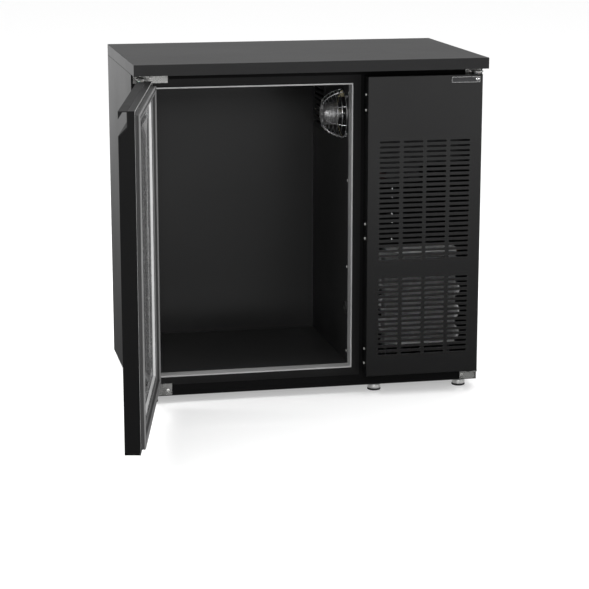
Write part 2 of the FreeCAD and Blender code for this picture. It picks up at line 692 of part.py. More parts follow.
def condenser():
    """Fin block between two end plates, with tubes and return bends."""
    core = box(inset(COND_X, 16), COND_Y, inset(COND_Z, 2))
    parts = [core]
    for x in (COND_X[0] + 8, COND_X[1] - 9.5):
        parts.append(box((x, x + 1.5), COND_Y, COND_Z))
    parts.append(box(inset(COND_X, 8), COND_Y, (COND_Z[1] - 2, COND_Z[1])))
    parts.append(box(inset(COND_X, 8), COND_Y, (COND_Z[0], COND_Z[0] + 2)))
    for row in range(COND_ROWS):
        z = cond_row(row)
        for y in COND_BANKS:
            parts.append(rod((COND_X[0] + 5, y, z), 3.6, COND_X[1] - COND_X[0] - 10, (1, 0, 0)))
    return parts[0].multiFuse(parts[1:])


def cond_row(row):
    return COND_Z[0] + 16 + row * (COND_Z[1] - COND_Z[0] - 32) / (COND_ROWS - 1)


def fan_shroud():
    y = COND_Y[1] + 0.2
    x, z = COOL_FAN
    plate = box(inset(COND_X, 8), (y, y + 1.5), COND_Z)
    ring = rod((x, y, z), COOL_FAN_R + 6, 26.0, (0, 1, 0))
    hole = rod((x, y - 1, z), COOL_FAN_R + 4, 40.0, (0, 1, 0))
    parts = [fuse([plate, ring]).cut(hole)]
    for angle in FAN_ARMS:
        side, up = math.cos(math.radians(angle)), math.sin(math.radians(angle))
        points = [(x + (COOL_FAN_R + 5) * side, y + 20, z + (COOL_FAN_R + 5) * up),
                  (x + (COOL_FAN_R + 5) * side, y + 48, z + (COOL_FAN_R + 5) * up),
                  (x + 30 * side, y + 48, z + 30 * up)]
        parts.append(bent_tube(points, 3.0, 8.0))
    return parts[0].multiFuse(parts[1:])


def cooling_motor():
    """Shaded pole motor on the shroud's four arms."""
    y = COND_Y[1] + 0.2
    x, z = COOL_FAN
    stack = box((x - 38, x + 38), (y + 52, y + 82), (z - 38, z + 38))
    nose = rod((x, y + 44, z), 36.0, 8.0, (0, 1, 0))
    tail = rod((x, y + 82, z), 24.0, 14.0, (0, 1, 0))
    shaft = rod((x, y + 4, z), 4.0, 40.0, (0, 1, 0))
    body = fuse([stack, nose, tail, shaft])
    for angle in FAN_ARMS:
        side, up = math.cos(math.radians(angle)), math.sin(math.radians(angle))
        arm_end = (x + 60 * side, y + 48, z + 60 * up)
        body = body.cut(rod(arm_end, 3.1, 50.0, (-side, 0, -up)))
    return body


def cooling_blade():
    blade = fan_blade(26.0, COOL_FAN_R, 18.0, 5, 24.0, 66.0, 4.0 + RUN_CLEAR)
    blade.rotate(V(0, 0, 0), V(0, 0, 1), 90)
    blade.translate(V(COOL_FAN[0], COND_Y[1] + 8.2, COOL_FAN[1]))
    return blade


def evaporator_blade():
    blade = fan_blade(20.0, 58.0, 15.0, 5, 30.0, 36.0, 3.0 + RUN_CLEAR)
    blade.translate(V(CHAMBER_X[1] + 6, FAN_Y, FAN_Z))
    return blade


def filter_drier():
    """Spun copper can with a stub at each end."""
    can = rod((*DRIER, 262.0), 10.0, 110.0, (0, 0, 1))
    can = can.makeFillet(6.0, [e for e in can.Edges if e.Length < 70])
    inlet = rod((*DRIER, 248.0), 3.2, 16.0, (0, 0, 1))
    outlet = rod((*DRIER, 370.0), 3.2, 14.0, (0, 0, 1))
    return fuse([can, inlet, outlet])


def refrigerant_lines():
    """Discharge, liquid and suction lines and the capillary."""
    low_row, high_row = cond_row(0), cond_row(COND_ROWS - 1)
    far, near = COND_BANKS[1], COND_BANKS[0]
    discharge = [(COMP_X + 96, COMP_Y, 100.0), (928.0, COMP_Y, 100.0), (928.0, 330.0, 300.0),
                 (928.0, far, high_row), (COND_X[1] - 5, far, high_row)]
    liquid = [(COND_X[0] + 5, near, low_row), (DRIER[0], near, low_row), (*DRIER, 200.0), (*DRIER, 248.0)]
    capillary = [(*DRIER, 384.0), (*DRIER, 440.0), (690.0, 300.0, 560.0),
                 (690.0, 350.0, 600.0), (690.0, 350.0, 639.5)]
    suction = [(COMP_X - 96, COMP_Y, 100.0), (676.0, COMP_Y, 100.0), (676.0, 400.0, 300.0),
               (735.0, 350.0, 560.0), (735.0, 350.0, 639.5)]
    tubes = [bent_tube(discharge, 4.0, 14.0), bent_tube(liquid, 3.2, 10.0),
             bent_tube(capillary, 1.5, 16.0), bent_tube(suction, 5.0, 14.0)]
    return Part.makeCompound(tubes)


def condensate_tray():
    x, y, z = (648.0, 692.0), (430.0, 540.0), (BASE + 2.2, 64.0)
    return box(x, y, z).cut(box(inset(x, 2), inset(y, 2), (z[0] + 2, z[1] + 1)))


# ---- controls, reached by opening the service panel ----
def controller():
    """Electronic thermostat in a bracket under the evaporator box."""
    face = box(CONTROL_X, (CONTROL_FRONT, CONTROL_FRONT + 4), CONTROL_Z)
    body = box(inset(CONTROL_X, 4), (CONTROL_FRONT + 4, 150.0), inset(CONTROL_Z, 3))
    bracket_z = (CONTROL_Z[0] - 4, MACHINE_TOP - 0.3)
    bracket = box((CONTROL_X[0], 800.0), (CONTROL_FRONT + 4, CONTROL_FRONT + 6), bracket_z)
    unit = fuse([face, body, bracket])
    window_x = (CONTROL_X[0] + 6, CONTROL_X[0] + 44)
    unit = unit.cut(box(window_x, (CONTROL_FRONT - 1, CONTROL_FRONT + 1.5), inset(CONTROL_Z, 8)))
    for x in KEY_X:
        unit = unit.cut(rod((x, CONTROL_FRONT - 1, KEY_Z), KEY_R + RUN_CLEAR, 6.0, (0, 1, 0)))
    rocker_hole = box(ROCKER_X, (CONTROL_FRONT, CONTROL_FRONT + 10), ROCKER_Z)
    return unit.cut(rocker_hole)


def key(x):
    """Round key that sinks into the controller's face."""
    return rod((x, CONTROL_FRONT - 1.2, KEY_Z), KEY_R, 4.6, (0, 1, 0))


def rocker_case():
    """Snap-in housing of the mains switch."""
    flange = box(inset(ROCKER_X, -2), (CONTROL_FRONT + 2, CONTROL_FRONT + 4), inset(ROCKER_Z, -2))
    case = box(ROCKER_X, (CONTROL_FRONT + 2, CONTROL_FRONT + 24), ROCKER_Z)
    room = box(inset(ROCKER_X, 1.5), (CONTROL_FRONT + 1, CONTROL_FRONT + 16), inset(ROCKER_Z, 1.5))
    shell = fuse([flange, case]).cut(room)
    axle = rod((ROCKER_X[0] + 1, *ROCKER_PIVOT), ROCKER_AXLE_R, 12.0, (1, 0, 0))
    return fuse([shell, axle])


def rocker():
    """Rocker on its axle, at rest with the upper half pressed."""
    y, z = ROCKER_PIVOT
    paddle = prism_x([(y - 7.5, z - 8), (y - 8.5, z), (y - 7.5, z + 8), (y + 1, z + 6),
                      (y + 3, z), (y + 1, z - 6)], inset(ROCKER_X, 2.2))
    paddle = paddle.cut(rod((ROCKER_X[0], y, z), ROCKER_AXLE_R + RUN_CLEAR, 14.0, (1, 0, 0)))
    paddle.rotate(V(0, y, z), V(1, 0, 0), -ROCKER_TILT)
    return paddle


def power_inlet():
    """Appliance inlet in the back cover, with its three blades."""
    flange = box(inset(INLET_X, -6), (DEPTH, DEPTH + 2), inset(INLET_Z, -4))
    shell = box(INLET_X, (DEPTH - 26, DEPTH), INLET_Z)
    room = box(inset(INLET_X, 3), (DEPTH - 20, DEPTH + 3), inset(INLET_Z, 3))
    parts = [fuse([flange, shell]).cut(room)]
    for x, z in ((892.0, 80.0), (906.0, 80.0), (899.0, 84.0)):
        parts.append(box((x - 1, x + 1), (DEPTH - 21, DEPTH - 4), (z - 2.5, z + 2.5)))
    return parts[0].multiFuse(parts[1:])


def build():
    os.makedirs("parts", exist_ok=True)
    save("worktop", worktop())
    save("left_side_panel", side_panel((0, SHEET)))
    save("right_side_panel", side_panel((WIDTH - SHEET, WIDTH)))
    save("back_panel", back_panel())
    save("machine_back_grille", back_grille())
    save("base_pan", base_pan())
    save("front_frame", front_frame())
    save("jamb_trim", jamb_trim())
    save("inner_liner", inner_liner())
    save("cabinet_foam", cabinet_foam())
    save("partition_foam", partition_foam())
    save("evaporator_box", evaporator_box())
    save("port_grommet", port_grommet())
    save("return_air_grille", return_grille())
    save("fan_guard", fan_guard())
    save("evaporator_fan_motor", evaporator_motor())
    save("evaporator_fan_blade", evaporator_blade())
    save("evaporator_coil", evaporator_coil())
    save("drip_tray", drip_tray())
    save("drain_hose", drain_hose())
    door_side = (DOOR_BRACKET_X, DOOR_AXIS, DOOR_NOSE_R, DOOR_BRACKET_SCREWS)
    panel_side = (PANEL_BRACKET_X, PANEL_AXIS, PANEL_NOSE_R, PANEL_BRACKET_SCREWS)
    for side, plan in (("door", door_side), ("panel", panel_side)):
        save(f"{side}_hinge_upper", hinge_bracket(*plan, True))
        save(f"{side}_hinge_lower", hinge_bracket(*plan, False))
    save("cabinet_screws", cabinet_screws())
    save("foot_inserts", foot_inserts())
    save("unit_base_plate", unit_base())
    save("compressor", compressor())
    save("compressor_mounts", compressor_mounts())
    save("condenser_coil", condenser())
    save("fan_shroud", fan_shroud())
    save("condenser_fan_motor", cooling_motor())
    save("condenser_fan_blade", cooling_blade())
    save("filter_drier", filter_drier())
    save("refrigerant_lines", refrigerant_lines())
    save("condensate_tray", condensate_tray())
    save("controller", controller())
    for name, x in zip(("key_set", "key_down", "key_up"), KEY_X):
        save(name, key(x))
    save("power_switch_case", rocker_case())
    save("power_switch_rocker", rocker())
    save("power_inlet", power_inlet())
    places = {"left": FOOT_X[0], "middle": FOOT_X[1], "right": FOOT_X[2]}
    for side, x in places.items():
        for end, y in zip(("front", "rear"), FOOT_Y):
            save(f"foot_{end}_{side}", foot(x, y))
    save_door("door_shell", door_shell())
    save_door("door_foam", door_foam())
    save_door("door_handle", door_handle())
    save_door("door_inner_panel", door_inner_panel())
    save_door("door_gasket", door_gasket())
    save_door("door_bushes", pivot_bushes(DOOR_AXIS))
    save("service_panel", service_panel())
    save("badge_plate", badge_plate())
    save("panel_bushes", pivot_bushes(PANEL_AXIS))
    save("panel_catches", panel_catches())
    save("catch_screws", catch_screws())


build()
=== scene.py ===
import json
import math
import bpy
from mathutils import Matrix, Vector


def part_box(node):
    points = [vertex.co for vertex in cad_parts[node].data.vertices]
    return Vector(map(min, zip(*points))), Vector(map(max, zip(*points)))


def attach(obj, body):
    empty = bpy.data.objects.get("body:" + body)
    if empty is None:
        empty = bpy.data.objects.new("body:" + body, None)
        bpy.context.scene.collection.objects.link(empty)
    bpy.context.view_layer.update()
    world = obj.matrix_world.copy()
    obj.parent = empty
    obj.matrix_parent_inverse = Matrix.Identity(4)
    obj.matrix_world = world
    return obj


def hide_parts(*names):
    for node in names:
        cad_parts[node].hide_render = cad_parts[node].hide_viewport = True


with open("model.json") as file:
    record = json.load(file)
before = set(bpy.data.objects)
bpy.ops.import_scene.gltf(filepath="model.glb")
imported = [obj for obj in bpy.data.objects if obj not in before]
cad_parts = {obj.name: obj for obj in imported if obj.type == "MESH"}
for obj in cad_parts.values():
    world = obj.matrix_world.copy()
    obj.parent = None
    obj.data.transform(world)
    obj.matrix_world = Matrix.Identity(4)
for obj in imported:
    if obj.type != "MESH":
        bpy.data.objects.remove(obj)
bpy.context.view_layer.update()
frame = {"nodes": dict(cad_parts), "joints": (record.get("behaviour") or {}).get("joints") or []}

# ---- Camera ----
# A long lens, to the left of the front and a little above the worktop, that
# looks slightly down on the cabinet.
camera = bpy.data.objects.new("camera", bpy.data.cameras.new("camera"))
bpy.context.scene.collection.objects.link(camera)
bpy.context.scene.camera = camera
camera.data.sensor_width = 36.0
camera.data.lens = 117.2
camera.location = (-1.0993, -5.2701, 1.4553)
turn, dip = 0.2071, 0.2229
view_line = Vector((math.sin(turn) * math.cos(dip), math.cos(turn) * math.cos(dip), -math.sin(dip)))
camera.rotation_euler = view_line.to_track_quat("-Z", "Y").to_euler()
bpy.context.scene.view_settings.view_transform = "Standard"

# ---- Studio floor and light ----
# A white floor that runs out of sight under an overcast light. The room is bright
# behind the cabinet, with a low strip of light behind the viewer, a softbox on
# each side and a small one near the viewer.


def shader_node(tree, kind, inputs=None, **settings):
    """A shader node; an input is given as a value, or as a socket to link from."""
    made = tree.nodes.new("ShaderNode" + kind)
    for name, value in settings.items():
        setattr(made, name, value)
    for label, value in (inputs or {}).items():
        if isinstance(value, bpy.types.NodeSocket):
            tree.links.new(value, made.inputs[label])
        else:
            made.inputs[label].default_value = value
    return made


def mix_colour(tree, factor, first, second, blend="MIX"):
    """Mix of two colours, as a socket."""
    made = tree.nodes.new("ShaderNodeMix")
    made.data_type = "RGBA"
    made.blend_type = blend
    sockets = {s.identifier: s for s in made.inputs}
    for key, value in (("Factor_Float", factor), ("A_Color", first), ("B_Color", second)):
        if isinstance(value, bpy.types.NodeSocket):
            tree.links.new(value, sockets[key])
        else:
            sockets[key].default_value = value
    return next(s for s in made.outputs if s.identifier == "Result_Color")


def remap(tree, value, low, high, out_low, out_high):
    """A value stretched from one range to another, as a socket."""
    made = shader_node(tree, "MapRange", {"Value": value, "From Min": low, "From Max": high,
                                          "To Min": out_low, "To Max": out_high})
    return made.outputs["Result"]


def maths(tree, operation, first, second):
    """A two-value sum, as a socket."""
    return shader_node(tree, "Math", {0: first, 1: second}, operation=operation).outputs["Value"]


def material(name, **constants):
    """A material whose constant values sit on the Principled shader's own sockets."""
    made = bpy.data.materials.new(name)
    made.use_nodes = True
    shader = made.node_tree.nodes["Principled BSDF"]
    for label, value in constants.items():
        shader.inputs[label.replace("_", " ")].default_value = value
    return made, made.node_tree, shader


def solid(name, points, faces, made_of, crease=35.0):
    """A mesh object in the row frame, smooth across edges flatter than the crease."""
    mesh = bpy.data.meshes.new(name)
    mesh.from_pydata([tuple(p) for p in points], [], faces)
    for one in made_of:
        mesh.materials.append(one)
    mesh.shade_smooth()
    mesh.set_sharp_from_angle(angle=math.radians(crease))
    piece = bpy.data.objects.new(name, mesh)
    bpy.context.scene.collection.objects.link(piece)
    return piece


floor_paint, tree, shader = material("floor_paint", Roughness=0.12, Specular_IOR_Level=0.5, Emission_Strength=0.46)
patches = shader_node(tree, "TexNoise", {"Scale": 0.7, "Detail": 3.0}).outputs["Fac"]
tone = mix_colour(tree, patches, (0.86, 0.86, 0.86, 1), (0.90, 0.90, 0.90, 1))
tree.links.new(tone, shader.inputs["Base Color"])
tree.links.new(tone, shader.inputs["Emission Color"])
half_floor = 60.0
floor_corners = [(x * half_floor, y * half_floor, 0) for x, y in ((-1, -1), (1, -1), (1, 1), (-1, 1))]
floor = solid("studio_floor", floor_corners, [(0, 1, 2, 3)], [floor_paint])
floor.visible_glossy = False

room = bpy.data.worlds.new("studio_room")
bpy.context.scene.world = room
room.use_nodes = True
tree = room.node_tree
direction = shader_node(tree, "TexCoord").outputs["Generated"]
compass = shader_node(tree, "SeparateXYZ", {"Vector": direction}).outputs

# The far glow grows up to the horizon behind the cabinet, and the sky above is dim.
behind = remap(tree, compass["Y"], -0.2, 0.8, 0.10, 0.36)
climb = remap(tree, compass["Z"], -0.27, -0.09, 0.0, 1.0)
above = remap(tree, maths(tree, "POWER", climb, 2.0), 0.0, 1.0, 0.12, 3.1)
sky = remap(tree, compass["Z"], -0.04, 0.04, 1.0, 0.29)
far_light = maths(tree, "MULTIPLY", behind, maths(tree, "MULTIPLY", above, sky))

# The near strip is a low band behind the viewer, for the gloss on upright faces.
near_climb = remap(tree, compass["Z"], -0.25, -0.11, 0.0, 1.25)
near_low = maths(tree, "POWER", near_climb, 2.0)
near_high = remap(tree, compass["Z"], -0.08, -0.04, 1.0, 0.0)
toward = remap(tree, compass["Y"], -0.6, -0.9, 0.0, 1.0)
near_light = maths(tree, "MULTIPLY", maths(tree, "MULTIPLY", near_low, near_high), toward)
level = maths(tree, "ADD", far_light, near_light)
tree.links.new(level, tree.nodes["Background"].inputs["Strength"])
tree.nodes["Background"].inputs["Color"].default_value = (1, 1, 1, 1)


def soft_light(name, place, target, width, height, power):
    """A rectangular softbox that faces its target."""
    lamp = bpy.data.lights.new(name, "AREA")
    lamp.shape = "RECTANGLE"
    lamp.size, lamp.size_y = width, height
    lamp.energy = power
    holder = bpy.data.objects.new(name, lamp)
    bpy.context.scene.collection.objects.link(holder)
    holder.location = place
    holder.rotation_euler = (Vector(target) - Vector(place)).to_track_quat("-Z", "Y").to_euler()


soft_light("left_softbox", (-3.6, -0.2, 2.8), (0, 0, 0.9), 2.2, 2.2, 180)
soft_light("right_softbox", (3.6, -1.9, 1.7), (-0.4, -0.6, 0.5), 1.8, 2.2, 70)
soft_light("near_softbox", (-0.9, -5.2, 2.1), (0.1, 0, 0.5), 0.8, 0.8, 46)
overcast = bpy.data.lights.new("overcast", "SUN")
overcast.energy = 2.9
overcast.angle = 1.6
overcast_holder = bpy.data.objects.new("overcast", overcast)
overcast_holder.rotation_euler = (math.radians(-3.0), 0.0, 0.0)
bpy.context.scene.collection.objects.link(overcast_holder)

# ---- Outer shell ----
# The worktop, side sheets, base pan and face frame are steel sheet, folded and
# spot welded, with a satin black powder coat that has a fine orange-peel grain.


def effect(name, inputs, outputs):
    """An empty shader node group with named sockets, and its two ends."""
    tree = bpy.data.node_groups.new(name, "ShaderNodeTree")
    for label, value in inputs.items():
        kind = "NodeSocketColor" if isinstance(value, tuple) else "NodeSocketFloat"
        tree.interface.new_socket(label, in_out="INPUT", socket_type=kind).default_value = value
    for label, kind in outputs.items():
        tree.interface.new_socket(label, in_out="OUTPUT", socket_type="NodeSocket" + kind)
    return tree, tree.nodes.new("NodeGroupInput").outputs, tree.nodes.new("NodeGroupOutput").inputs


# Cloudy tone, uneven gloss and a fine skin: every finish starts from this.
skin_effect, given, result = effect(
    "surface_skin",
    {"Color": (0.5, 0.5, 0.5, 1), "Contrast": 0.2, "Cloud Size": 6.0, "Grain Size": 900.0,
     "Roughness": 0.4, "Gloss Drift": 0.08, "Stretch X": 1.0, "Stretch Y": 1.0, "Stretch Z": 1.0},
    {"Color": "Color", "Roughness": "Float", "Height": "Float"})
where = shader_node(skin_effect, "TexCoord").outputs["Object"]
stretch = shader_node(skin_effect, "CombineXYZ", {"X": given["Stretch X"], "Y": given["Stretch Y"],
                                                  "Z": given["Stretch Z"]}).outputs["Vector"]
drawn = shader_node(skin_effect, "VectorMath", {0: where, 1: stretch}, operation="MULTIPLY").outputs["Vector"]
clouds = shader_node(skin_effect, "TexNoise", {"Vector": where, "Scale": given["Cloud Size"], "Detail": 4.0})
grain = shader_node(skin_effect, "TexNoise", {"Vector": drawn, "Scale": given["Grain Size"], "Detail": 2.0})
both = maths(skin_effect, "ADD", maths(skin_effect, "MULTIPLY", clouds.outputs["Fac"], 0.65),
             maths(skin_effect, "MULTIPLY", grain.outputs["Fac"], 0.35))
uneven = maths(skin_effect, "SUBTRACT", both, 0.5)
sway = maths(skin_effect, "MULTIPLY", uneven, given["Contrast"])
gain = maths(skin_effect, "ADD", maths(skin_effect, "MULTIPLY", sway, 4.0), 1.0)
grey = shader_node(skin_effect, "CombineColor", {"Red": gain, "Green": gain, "Blue": gain}).outputs["Color"]
skin_effect.links.new(mix_colour(skin_effect, 1.0, given["Color"], grey, "MULTIPLY"), result["Color"])
drift = maths(skin_effect, "MULTIPLY", uneven, maths(skin_effect, "MULTIPLY", given["Gloss Drift"], 4.0))
skin_effect.links.new(maths(skin_effect, "ADD", given["Roughness"], drift), result["Roughness"])
skin_effect.links.new(grain.outputs["Fac"], result["Height"])

# Coating rubbed thin along outside edges, in broken patches.
wear_effect, given, result = effect(
    "edge_wear", {"Color": (0.5, 0.5, 0.5, 1), "Worn Color": (0.5, 0.5, 0.5, 1), "Amount": 0.5, "Width": 0.0015},
    {"Color": "Color"})
rounded_normal = shader_node(wear_effect, "Bevel", {"Radius": given["Width"]}, samples=4).outputs["Normal"]
true_normal = shader_node(wear_effect, "NewGeometry").outputs["Normal"]
alike = shader_node(wear_effect, "VectorMath", {0: rounded_normal, 1: true_normal}, operation="DOT_PRODUCT")
edges = remap(wear_effect, alike.outputs["Value"], 0.98, 0.80, 0.0, 1.0)
breaks = shader_node(wear_effect, "TexNoise", {"Scale": 60.0, "Detail": 4.0}).outputs["Fac"]
rubbed = maths(wear_effect, "MULTIPLY", edges, remap(wear_effect, breaks, 0.40, 0.62, 0.25, 1.0))
mask = maths(wear_effect, "MULTIPLY", rubbed, given["Amount"])
wear_effect.links.new(mix_colour(wear_effect, mask, given["Color"], given["Worn Color"]), result["Color"])

# A thin pale film on faces that look up.
dust_effect, given, result = effect(
    "settled_dust", {"Color": (0.5, 0.5, 0.5, 1), "Dust Color": (0.4, 0.4, 0.4, 1), "Amount": 0.1},
    {"Color": "Color"})
upward = shader_node(dust_effect, "SeparateXYZ", {
    "Vector": shader_node(dust_effect, "NewGeometry").outputs["Normal"]}).outputs["Z"]
specks = shader_node(dust_effect, "TexNoise", {"Scale": 240.0, "Detail": 5.0}).outputs["Fac"]
film = maths(dust_effect, "MULTIPLY", remap(dust_effect, upward, 0.3, 0.95, 0.0, 1.0),
             remap(dust_effect, specks, 0.35, 0.75, 0.2, 1.0))
mask = maths(dust_effect, "MULTIPLY", film, given["Amount"])
dust_effect.links.new(mix_colour(dust_effect, mask, given["Color"], given["Dust Color"]), result["Color"])


def put_effect(tree, group, values):
    """An effect placed in a material with its own values."""
    return shader_node(tree, "Group", values, node_tree=group).outputs


def finish(name, colour, rough, skin=None, relief=0.00004, worn=None, wear=0.35, dust=0.05, **constants):
    """A finish: skin, then wear on the edges, then dust, on one Principled shader."""
    made, tree, shader = material(name, **constants)
    values = {"Color": (*colour, 1), "Roughness": rough}
    values.update(skin or {})
    base = put_effect(tree, skin_effect, values)
    colour_now = base["Color"]
    if worn:
        colour_now = put_effect(tree, wear_effect, {
            "Color": colour_now, "Worn Color": (*worn, 1), "Amount": wear})["Color"]
    if dust:
        colour_now = put_effect(tree, dust_effect, {"Color": colour_now, "Amount": dust})["Color"]
    tree.links.new(colour_now, shader.inputs["Base Color"])
    tree.links.new(base["Roughness"], shader.inputs["Roughness"])
    bump = shader_node(tree, "Bump", {"Height": base["Height"], "Strength": 0.5, "Distance": relief})
    tree.links.new(bump.outputs["Normal"], shader.inputs["Normal"])
    return made


def dress(made, *names):
    """Gives carried-over nodes their finish through their own material slots."""
    for name in names:
        part = frame["nodes"][name]
        for place in part.material_slots:
            place.link = "OBJECT"
            place.material = made


powder_skin = {"Contrast": 0.12, "Cloud Size": 3.0, "Grain Size": 1100.0, "Gloss Drift": 0.05}
black_coat = finish("black_powder_coat", (0.014, 0.014, 0.0145), 0.36, skin=powder_skin,
                    worn=(0.10, 0.10, 0.10), wear=0.55, dust=0.012, Specular_IOR_Level=0.32)
dress(black_coat, "worktop", "left_side_panel", "right_side_panel", "base_pan", "machine_back_grille")
# The face frame has the same coat as the cabinet, but this copy is darker and less glossy: painted shade.
shade_painted_frame_coat = finish("face_frame_coat_painted_shade", (0.0045, 0.0045, 0.0047), 0.42, skin=powder_skin,
                    worn=(0.08, 0.08, 0.08), wear=0.4, dust=0.008, Specular_IOR_Level=0.06)
dress(shade_painted_frame_coat, "front_frame")

galvanised = finish("galvanised_sheet", (0.46, 0.47, 0.48), 0.38,
                    skin={"Contrast": 0.30, "Cloud Size": 90.0, "Grain Size": 500.0, "Gloss Drift": 0.12},
                    relief=0.00002, dust=0.04, Metallic=0.9)
dress(galvanised, "back_panel", "unit_base_plate", "condensate_tray")

MM = 0.001
worktop_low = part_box("worktop")[0]
# A box's corners are numbered by z, then y, then x; these are its six faces.
box_faces = ((0, 2, 3, 1), (4, 5, 7, 6), (0, 1, 5, 4), (2, 6, 7, 3), (0, 4, 6, 2), (1, 3, 7, 5))


def at(x, y, z):
    """A place counted in mm from the worktop's front left corner and the floor."""
    return Vector((worktop_low.x + x * MM, worktop_low.y + y * MM, z * MM))


def bars(name, spans, made_of):
    """Many thin rectangular bars or plates as one mesh, from (x, y, z) pairs in mm."""
    points, faces = [], []
    for x, y, z in spans:
        first = len(points)
        points += [at(a, b, c) for c in z for b in y for a in x]
        faces += [tuple(first + i for i in face) for face in box_faces]
    return solid(name, points, faces, made_of)


# A thin, near-black strip along the joint between the worktop and the left side is painted shadow, standing in for the
# joint's shadow gap.
gap_shadow_paint = finish("painted_gap_shadow", (0.003, 0.003, 0.003), 0.7, skin={"Contrast": 0.1}, dust=0.0)
shadow_gap_strip = bars("worktop_joint_shadow_strip", [((-0.15, 0.5), (62.0, 598.0), (903.4, 904.9))], [gap_shadow_paint])
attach(shadow_gap_strip, "cabinet")

# ---- Rear louvres ----
# Each slot of the rear cover has a lip pressed inwards and down from the same
# coated sheet, which sheds drips and hides the works.


def loft(name, rings, made_of, closed=False, crease=35.0):
    """A skin through rings of points: capped at both ends, or closed on itself."""
    count = len(rings[0])
    points = [p for ring in rings for p in ring]
    pairs = list(zip(range(len(rings)), range(1, len(rings))))
    if closed:
        pairs.append((len(rings) - 1, 0))
    faces = [(a * count + i, a * count + (i + 1) % count, b * count + (i + 1) % count, b * count + i)
             for a, b in pairs for i in range(count)]
    if not closed:
        faces.append(tuple(reversed(range(count))))
        faces.append(tuple(range(len(points) - count, len(points))))
    return solid(name, points, faces, made_of, crease)


def joined(name, parts):
    """Several meshes made into one object, which keeps the first one's finishes."""
    points, faces, slots = [], [], []
    for part in parts:
        first = len(points)
        points += [v.co.copy() for v in part.data.vertices]
        for face in part.data.polygons:
            faces.append(tuple(first + i for i in face.vertices))
            slots.append(face.material_index)
    made = solid(name, points, faces, list(parts[0].data.materials))
    for face, index in zip(made.data.polygons, slots):
        face.material_index = index
    for part in parts:
        bpy.data.objects.remove(part)
    return made


lip_profile = [(598.4, 3.4), (594.5, 1.0), (590.5, -3.4), (590.0, -2.9), (594.0, 2.0), (598.4, 4.4)]
lip_columns, column_pitch, lip_length = 3, 92.0, 75.6
lip_rows, row_pitch = 16, 26.0
louvres = []
for column in range(lip_columns):
    for row in range(lip_rows):
        x, z = 672.2 + column * column_pitch, 170.0 + row * row_pitch
        ends = [[at(side, y, z + rise) for y, rise in lip_profile] for side in (x, x + lip_length)]
        louvres.append(loft("lip", ends, [black_coat]))
rear_louvres = joined("rear_louvres", louvres)
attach(rear_louvres, "cabinet")

# ---- Levelling feet ----
# Six adjustable feet: a bright turned cup over a black rubber sole, with a
# hexagon for the spanner and a threaded stem that screws into the base.
foot_metal = finish("turned_foot_metal", (0.82, 0.82, 0.81), 0.34,
                    skin={"Contrast": 0.10, "Grain Size": 700.0, "Stretch Z": 8.0, "Stretch X": 0.3, "Stretch Y": 0.3},
                    relief=0.00002, Metallic=0.45)
sole_rubber = finish("black_sole_rubber", (0.022, 0.022, 0.022), 0.62,
                     skin={"Contrast": 0.25, "Grain Size": 600.0}, relief=0.00008, dust=0.08)


def hex_reach(angle):
    """Distance from the centre to the side of a hexagon of unit inner radius."""
    return 1 / math.cos((angle + math.pi / 6) % (math.pi / 3) - math.pi / 6)


def turned(centre, profile, sides=36, axis="Z"):
    """Rings of a turned shape: (radius, height) pairs, or a third value 1 for hexagonal."""
    rings = []
    for radius, height, *hexed in profile:
        ring = []
        for step in range(sides):
            angle = 2 * math.pi * step / sides
            reach = radius * (hex_reach(angle) if hexed else 1.0) * MM
            side, up = reach * math.cos(angle), reach * math.sin(angle)
            along = height * MM
            offset = {"Z": (side, up, along), "X": (along, side, up), "Y": (up, along, side)}[axis]
            ring.append(centre + Vector(offset))
        rings.append(ring)
    return rings


sole_profile = [(2.0, 0.6), (13.0, 0.6), (14.5, 0.0), (17.4, 0.0), (18.8, 1.0), (19.0, 2.6),
                (18.7, 4.6), (17.2, 5.6), (15.5, 5.9)]
cup_profile = [(15.0, 5.2), (17.9, 5.8), (18.3, 7.2), (17.9, 12.0), (16.9, 16.6), (15.6, 18.2),
               (11.0, 19.0), (9.5, 19.0), (9.0, 19.0, 1), (9.0, 20.8, 1), (5.2, 21.0)]
thread_low, half_pitch, crest, root = 21.2, 0.6, 5.0, 4.4
thread = [(crest if step % 2 else root, thread_low + half_pitch * step) for step in range(38)]
for name in sorted(n for n in frame["nodes"] if n.startswith("foot_") and n != "foot_inserts"):
    low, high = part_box(name)
    middle = Vector(((low.x + high.x) / 2, (low.y + high.y) / 2, low.z))
    sole = loft("sole", turned(middle, sole_profile), [foot_metal, sole_rubber])
    for face in sole.data.polygons:
        face.material_index = 1
    cup = loft("cup", turned(middle, cup_profile + thread), [foot_metal, sole_rubber])
    levelling_foot = joined("levelling_" + name, [cup, sole])
    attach(levelling_foot, name + "_body")
    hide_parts(name)
dress(galvanised, "foot_inserts")

# ---- Insulation ----
# Rigid polyurethane foam, blown in behind the liner: pale yellow, with an open
# cut skin wherever a slab's face can be seen.
foam = finish("rigid_foam", (0.74, 0.66, 0.42), 0.85,
              skin={"Contrast": 0.25, "Cloud Size": 14.0, "Grain Size": 420.0}, relief=0.0004)
dress(foam, "cabinet_foam", "partition_foam", "door_foam")
dress(black_coat, "evaporator_box")

# Coated sheet faces the foam on the machinery's side, open round the line port,
# and behind the top rail of the face frame.
wall_x, wall_y = (641.05, 641.5), (62.2, 597.5)
port_y, port_z = (111.5, 136.5), (220.5, 245.5)
facing_spans = [(wall_x, wall_y, (24.2, port_z[0])), (wall_x, wall_y, (port_z[1], 639.0)),
                (wall_x, (wall_y[0], port_y[0]), port_z), (wall_x, (port_y[1], wall_y[1]), port_z),
                ((641.0, 963.9), (61.4, 61.95), (866.0, 885.0))]
facing_sheets = bars("machine_side_sheets", facing_spans, [black_coat])
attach(facing_sheets, "cabinet")

